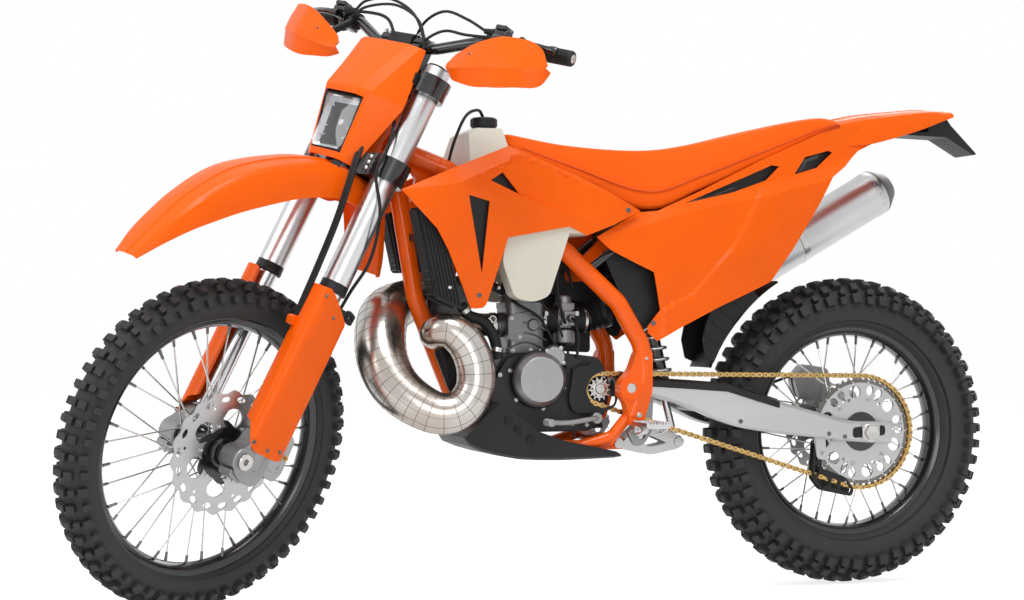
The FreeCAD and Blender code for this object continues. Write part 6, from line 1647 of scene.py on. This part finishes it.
def swingarm():
    stations = [(-141, -24, 14, 52, 84), (-212, -9, 26, 54, 84), (-306, -17, 37, 62, 92),
                (-400, -39, 47, 72, 104), (-475, -42, 37, 80, 112), (-612.5, -34, 24, 92, 122),
                (-699.5, -28, 19, 92, 122), (-799.5, -17, 34, 92, 122)]
    rows = []
    for x, low, high, inner, outer in spline(stations, 5):
        z = arm_line(x)
        low, high = z + low, z + high
        edge, cham = 5.0, 8.0
        rows.append([Vector(point) for point in ((x, inner, low + edge), (x, inner + edge, low),
                                                 (x, outer - cham, low), (x, outer - 0.5, low + cham),
                                                 (x, outer - 0.3, high - cham), (x, outer - cham, high),
                                                 (x, inner + edge, high), (x, inner, high - edge))])
    held("swingarm_arms", mirrored(grid(rows)), "alloy", "swingarm", bevel=1.4, angle=20, segments=3)
    bridge = soft_plate([(-381.5, 404), (-349.5, 398), (-345.5, 446), (-381.5, 450)], 8, -82, 82)
    lugs = mirrored(soft_plate([(-252, 440), (-248, 352), (-224, 352), (-220, 440)], 9, 25, 36,
                               [circle(-236, 362, 8.2, 20)]))
    pivot = lathe([(20.6, -84), (20.6, 84)], (PIVOT_X, 0, PIVOT_Z), ALONG, 36)
    stay = lathe([(13, -60), (13, 60)], (-236, 0, 440), ALONG, 28)
    held("swingarm_castings", group(bridge, lugs, pivot, stay), "cast", bevel=2)
    ends = mirrored(lathe([(6, 121), (10.4, 121), (10.4, 125), (6, 125)], (PIVOT_X, 0, PIVOT_Z), ALONG, 28))
    held("pivot_bolt",
         group(ends, lathe([(9.8, -120), (9.8, 120)], (PIVOT_X, 0, PIVOT_Z), ALONG, 24)), "steel")
    slots = mirrored(soft_plate([(-782, 343), (-700, 338), (-700, 362), (-782, 366)], 9, 120.8, 122.3,
                                [circle(AXLE.x, AXLE.z, 13.6, 24)]))
    held("adjuster_slots", slots, "black", slot="black_metal")
    blocks = mirrored(soft_plate([(-766, 334), (-722, 332), (-722, 370), (-766, 368)],
                                 5, 122, 125.6, [circle(AXLE.x, AXLE.z, 12.9, 24)]),
                      lathe([(3, 0), (3, 26), (5, 27), (5, 33)], (-799, 107, 362), (-1, 0, 0.05), 8))
    held("axle_blocks", blocks, "alloy", bevel=1)
    slider = []
    for x, z, y in ((-150, 500, 0), (-205, 478, 0), (-306, 471, 0), (-400, 463, 0), (-470, 440, 0),
                    (-520, 424, 0)):
        out = mixed(x, [(-141, 84), (-212, 84), (-306, 92), (-400, 104), (-475, 112), (-520, 115)])
        top = arm_line(x) + mixed(x, [(-141, 20), (-212, 27), (-306, 38), (-400, 48), (-475, 38), (-520, 33)])
        slider.append([(x, out - 34, top - 2), (x, out - 10, top + 1.0), (x, out + 0.8, top - 4),
                       (x, out + 1.6, top - 16)])
    held("chain_slider", leaf(slider, 3.0), "black", bevel=0.8)
    bits = mirrored(*[bolt((x, y, arm_line(x) + rise), (0, 1, 0), 3.6, 2.4)
                      for x, y, rise in ((-430, 107.4, -28), (-640, 122, -20), (-680, 122, -20))])
    held("swingarm_bolts", bits, "dark_steel")
    axle = lathe([(12.4, -128), (12.4, 128)], (0, 0, 0), ALONG, 28)
    heads = mirrored(lathe([(5, 134), (10, 135), (17.5, 135.4), (18.4, 133), (18.4, 128.4), (12, 128)],
                           (0, 0, 0), ALONG, 6))
    washer = mirrored(lathe([(12.6, 122.4), (21, 122.4), (21.6, 124), (21.6, 127), (20, 128.4),
                             (12.6, 128.4)], (0, 0, 0), ALONG, 40))
    make("rear_axle_shown", group(axle, heads, washer), REAR, "chassis", "steel", "rear_axle", bevel=0.5)


def pitch_radius(teeth):
    return CHAIN_PITCH / (2 * math.sin(math.pi / teeth))


def chain_path():
    """The pins' points round both sprockets, with the way the chain runs at each."""
    front, rear = Vector((SHAFT_X, 0, SHAFT_Z)), AXLE
    small, large = pitch_radius(13), pitch_radius(50)
    gap = rear - front
    lean = math.atan2(gap.z, gap.x)
    spread = math.acos((small - large) / gap.length)
    arcs = [(front, small, lean + spread, 2 * (math.pi - spread)), (rear, large, lean - spread, 2 * spread)]
    straight = math.sqrt(gap.length ** 2 - (large - small) ** 2)
    total = sum(radius * turn for centre, radius, begin, turn in arcs) + 2 * straight

    def at(distance):
        distance %= total
        for centre, radius, begin, turn in arcs:
            if distance <= radius * turn:
                a = begin + distance / radius
                return centre + Vector((math.cos(a), 0, math.sin(a))) * radius
            distance -= radius * turn
            a = begin + turn
            if distance <= straight:
                start = centre + Vector((math.cos(a), 0, math.sin(a))) * radius
                return start + Vector((-math.sin(a), 0, math.cos(a))) * distance
            distance -= straight

    return [at(total * index / CHAIN_LINKS) for index in range(CHAIN_LINKS)]


def chain():
    pins = chain_path()
    inner, outer, rollers = Shape(), Shape(), Shape()
    for index, pin in enumerate(pins):
        after = pins[(index + 1) % len(pins)]
        way = (after - pin).normalized()
        lean = math.atan2(way.z, way.x)
        middle = 0.5 * (pin + after)
        length = (after - pin).length
        half = []
        for end, sign in ((0.5 * length, 1), (-0.5 * length, -1)):
            for step in range(5):
                a = math.radians(-70 + 35 * step)
                half.append((end + sign * 5.9 * math.cos(a), sign * 5.9 * math.sin(a)))
            half.append((0.0, sign * 3.5))
        loop = [(middle.x + x * math.cos(lean) - z * math.sin(lean),
                 middle.z + x * math.sin(lean) + z * math.cos(lean)) for x, z in half]
        for side in (-1, 1):
            near = 4.9 if index % 2 else 2.9
            (outer if index % 2 else inner).join(plate(loop, CHAIN_Y + side * near,
                                                       CHAIN_Y + side * (near + 1.7)))
        rollers.join(lathe([(3.6, -3), (3.6, 3)], (pin.x, CHAIN_Y, pin.z), ALONG, 10))
        rollers.join(lathe([(2.5, -6.95), (2.5, 6.95)], (pin.x, CHAIN_Y, pin.z), ALONG, 8))
    held("chain_plates", outer, "gold", "chain", angle=40)
    held("chain_inner_plates", inner, "gold", angle=40)
    held("chain_rollers", rollers, "dark_steel", angle=40)


def drive():
    tip, root = 26.398, 20.094
    outline = []
    for index in range(13):
        for share, radius in ((0.0, root), (0.24, root), (0.42, tip), (0.58, tip), (0.76, root)):
            a = 2 * math.pi * (index + share) / 13 + 0.12
            outline.append((SHAFT_X + radius * math.cos(a), SHAFT_Z + radius * math.sin(a)))
    cog = plate(outline, 75.2, 80.8, [circle(SHAFT_X, SHAFT_Z, 12.2, 24)]
                + [circle(SHAFT_X + 16.6 * math.cos(a), SHAFT_Z + 16.6 * math.sin(a), 1.8, 10)
                   for a in (math.pi * k / 3 for k in range(6))])
    held("countershaft_shown", cog, "steel", "countershaft_sprocket", bevel=0.5)
    ring = lathe([(12, 80.6), (15, 81), (15, 83.2), (12, 84)], (SHAFT_X, 0, SHAFT_Z), ALONG, 28)
    held("countershaft_clip", ring, "steel")
    cover = soft_loop([(-150, 470), (-140, 415), (-100, 400), (-42, 404), (-30, 430), (-42, 500),
                       (-92, 508)], 14, 4)
    shield = plate(cover, 88.2, 92.8, [soft_loop([(-140, 474), (-116, 494), (-84, 482), (-70, 452),
                                                  (-82, 422), (-108, 410), (-138, 420)], 10)])
    foot = soft_plate([(-54, 410), (-36, 410), (-40, 500), (-54, 500)], 5, 64.5, 90)
    rel = [(121, -17), (127, -102), (104, -130), (29, -146), (22, -130), (44, -102), (104, -80), (104, -20)]
    guide = soft_loop([(AXLE.x + x, AXLE.z + z) for x, z in rel], 8, 3)
    slots = [soft_loop([(AXLE.x + x, AXLE.z + z) for x, z in loop], 3)
             for loop in (((117, -30), (120, -62), (109, -62), (108, -30)),
                          ((120, -70), (122, -98), (112, -92), (110, -74)),
                          ((108, -90), (118, -106), (102, -123), (86, -119), (84, -104)),
                          ((78, -104), (82, -124), (66, -128), (60, -108)),
                          ((54, -110), (60, -130), (34, -138), (30, -128), (44, -110)))]
    held("chain_guides_shown", group(shield, foot, plate(guide, 86, 89, slots), plate(guide, 67, 70, slots),
                                     plate(scaled(guide, 0.98), 70, 71)), "black",
         "chain_guides", bevel=1.0)
    ear = soft_plate([(AXLE.x + x, AXLE.z + z) for x, z in ((96, -62), (120, -58), (123, 3), (99, 3))], 8,
                     86, 96, [circle(AXLE.x + 108, AXLE.z - 46, 5, 16)])
    held("guide_bracket", group(ear, bolt((AXLE.x + 108, 90, AXLE.z - 46), ALONG, 5, 6)), "alloy", bevel=1.2)


def rear_brake():
    outline = soft_loop([(0, 82), (8, 140), (70, 150), (96, 118), (84, 74), (30, 66)], 12)
    body = group(plate(outline, -82, -96.2), plate(outline, -59.4, -73.5),
                 soft_plate([(10, 118), (8, 140), (70, 150), (92, 124)], 6, -72, -84),
                 soft_plate([(-22, -20), (22, -20), (60, 70), (60, 100), (14, 100), (-22, 30)],
                            10, -81, -91.4, [circle(0, 0, 20, 28)]),
                 lathe([(15, 0), (15, 4), (12, 6), (6, 6)], (52, -95, 106), -ALONG, 28))
    make("rear_caliper_shown", body, REAR, "chassis", "cast", "rear_caliper", bevel=1.5)
    hose = tube([(-650, -96, 470), (-600, -112, 452), (-520, -116, 440), (-420, -104, 452),
                 (-300, -92, 470), (-210, -92, 480)], 6, 3.4, 10)
    held("rear_brake_hose", hose, "rubber")


def feet():
    teeth = Shape()
    outline = soft_loop([(-216, 382), (-212, 372.5), (-164, 372.5), (-160, 382)], 3)
    rails = group(plate(outline, 137, 139.6), plate(outline, 212, 215.4),
                  block((-216, 137, 376), (-211, 215, 385)), block((-165, 137, 376), (-160, 215, 385)),
                  block((-192, 137, 375), (-186, 215, 384)), block((-214, 160, 374), (-162, 164, 383)),
                  block((-214, 188, 374), (-162, 192, 383)))
    for y in range(12):
        for x in (-213.5, -162.5):
            teeth.join(lathe([(3.2, 0), (0.8, 7.4)], (x, 141 + 6.4 * y, 380), UP, 6))
    for x in range(7):
        for y in (138.3, 213.7):
            teeth.join(lathe([(3.4, 0), (0.8, 7.4)], (-208 + 7.0 * x, y, 380), UP, 6))
    mount = soft_plate([(-202, 387), (-196, 358), (-166, 354), (-160, 386)], 7, 127.3, 138,
                       [circle(-182, 372, 4, 12)])
    truss = group(*[sweep(line, 2.1, 8) for x in (-162.4, -213.4)
                    for line in ([(x, 137, 357), (x, 176, 363), (x, 213, 377)],
                                 [(x, 138, 378), (x, 155, 360)], [(x, 155, 360), (x, 170, 378)],
                                 [(x, 170, 378), (x, 186, 367)])])
    held("footpegs_shown", mirrored(rails, mount, teeth, truss), "silver", "footpegs", bevel=0.8)
    hangers = mirrored(soft_plate([(-214, 374),
                                   (-196, 384), (-150, 362), (-168, 330), (-190, 336)], 8, 120, 132,
                                  [soft_loop([(-196, 366), (-172, 362), (-178, 346), (-190, 348)], 5)]))
    held("peg_brackets", hangers, "cast", bevel=1.6)
    shift = tube([(-90, 64.5, 392), (-90, 100, 392), (-78, 110, 391), (-20, 118, 384),
                  (34, 126, 386)], 6, 5.8, 12)
    toe = lathe([(5, 0), (8, 1)]
                + [(r, y) for k in range(6) for r, y in ((8, 4 + 5.4 * k), (6.6, 5.4 + 5.4 * k),
                                                         (8, 6.8 + 5.4 * k))] + [(8, 37), (5, 38)],
                (32, 122, 386), ALONG, 18)
    boss = lathe([(11, 0), (12, 1), (12, 13), (11, 14)], (-90, 96, 392), ALONG, 24)
    face = 127.3
    brake = sweep(rounded([(-143, -face, 440), (-143, -face - 13, 440), (-122, -face - 14, 400),
                           (-92, -face - 12, 364), (-30, -face - 12, 366), (20, -face - 12, 384)], 12), 5.8,
                  12)
    pad = lathe([(5, 0), (8, 1), (8, 39), (5, 40)], (17, -face - 4, 384), -ALONG, 16)
    held("foot_levers_shown", group(shift, toe, boss, brake, pad), "cast", "foot_levers", bevel=0.5)
    master = lathe([(9, 0), (11, 2), (11, 52), (8, 56)], (-178, -134, 452), (0.1, 0, 1), 24)
    held("rear_master", master, "gloss_black")


def hoses():
    hose = sweep(rounded([(262, 84, 668), (256, 58, 676), (170, 40, 694), (88, 10, 664)], 26), 9.8, 18)
    held("coolant_hose_shown", hose, "rubber", "coolant_hose")
    lower = tube([(214, 100, 634), (196, 98, 612), (160, 84, 600), (134, 78, 566),
                  (124, 78, 520)], 6, 12, 18)
    held("lower_hose", lower, "rubber")
    held("lower_hose_bands",
         group(*[hoop([(12, -5), (13.4, -4.4), (13.4, 4.4), (12, 5)], 32, way, foot)
                 for foot, way in (((205, 99, 623), (0.6, 0.1, 0.8)), ((127, 78, 540), (-0.2, 0, 1)))]),
         "steel")
    bands = group(*[hoop([(9.8, -4), (11.2, -3.6), (11.2, 3.6), (9.8, 4)], 32, way, foot)
                    for foot, way in (((256.5, 62, 675), (-0.2, -0.95, 0.3)),
                                      ((108, 17, 674), (-0.93, -0.34, -0.3)))])
    held("coolant_bands", bands, "steel")


for part in (frame_piece, subframe, engine, cylinder, carburettor, exhaust, silencer, tank, radiators,
             shrouds, side_panels, seat, airbox, rear_fender, mud_flap, skid_plate, shock, linkage,
             swingarm, chain, drive, rear_brake, feet, hoses):
    part()


# Stage: a pale floor, soft light and the photograph's camera

def seen_plainly(nodes, links):
    """One for what the camera sees, straight or in a reflection or through glass."""
    rays = nodes.new("ShaderNodeLightPath")
    total = rays.outputs["Is Camera Ray"]
    for kind in ("Is Glossy Ray", "Is Transmission Ray"):
        either = nodes.new("ShaderNodeMath")
        either.operation = "MAXIMUM"
        links.new(total, either.inputs[0])
        links.new(rays.outputs[kind], either.inputs[1])
        total = either.outputs[0]
    return total


def stage():
    made, nodes, links = nodes_of("floor")
    shader = nodes["Principled BSDF"]
    shader.inputs["Base Color"].default_value = (0.93, 0.93, 0.93, 1)
    shader.inputs["Roughness"].default_value = 0.9
    output = nodes["Material Output"]
    mix = nodes.new("ShaderNodeMixShader")
    glow = nodes.new("ShaderNodeEmission")
    glow.inputs["Strength"].default_value = 1.84
    dim = nodes.new("ShaderNodeMath")
    dim.operation = "MULTIPLY"
    dim.inputs[1].default_value = 0.42
    links.new(seen_plainly(nodes, links), dim.inputs[0])
    links.new(dim.outputs[0], mix.inputs["Fac"])
    links.new(shader.outputs[0], mix.inputs[1])
    links.new(glow.outputs[0], mix.inputs[2])
    links.new(mix.outputs[0], output.inputs["Surface"])
    bpy.ops.mesh.primitive_plane_add(size=60, location=(0, 0, FLOOR_Z))
    floor = bpy.context.active_object
    floor.name = "floor"
    floor.data.materials.append(made)

    world = bpy.data.worlds.new("studio")
    bpy.context.scene.world = world
    world.use_nodes = True
    nodes, links = world.node_tree.nodes, world.node_tree.links
    soft = nodes["Background"]
    soft.inputs["Color"].default_value = (1, 1, 1, 1)
    soft.inputs["Strength"].default_value = 0.34
    white = nodes.new("ShaderNodeBackground")
    white.inputs["Color"].default_value = (1, 1, 1, 1)
    white.inputs["Strength"].default_value = 1.0
    mix = nodes.new("ShaderNodeMixShader")
    links.new(seen_plainly(nodes, links), mix.inputs["Fac"])
    links.new(soft.outputs[0], mix.inputs[1])
    links.new(white.outputs[0], mix.inputs[2])
    links.new(mix.outputs[0], nodes["World Output"].inputs["Surface"])

    for name, spot, size, power in (("key", (0.6, 2.2, 4.2), 2.2, 150), ("front", (4.2, 0.8, 1.8), 2.0, 50),
                                    ("back", (-3.0, -2.6, 2.8), 2.6, 70), ("low", (1.4, 4.6, 0.2), 1.8, 30)):
        light = bpy.data.lights.new(name, "AREA")
        light.energy, light.size = power, size
        lamp = bpy.data.objects.new(name, light)
        bpy.context.collection.objects.link(lamp)
        lamp.location = spot
        lamp.rotation_euler = (Vector((0, 0, -0.35)) - Vector(spot)).to_track_quat("-Z", "Y").to_euler()

    lens = bpy.data.cameras.new("camera")
    lens.lens, lens.sensor_width, lens.clip_end = 67.9, 36, 200
    camera = bpy.data.objects.new("camera", lens)
    bpy.context.collection.objects.link(camera)
    camera.location = (1.593, 3.969, -0.372)
    camera.rotation_euler = Vector((-0.3256, -0.9455, 0.0105)).to_track_quat("-Z", "Y").to_euler()
    bpy.context.scene.camera = camera
    bpy.context.scene.view_settings.view_transform = "Standard"


stage()
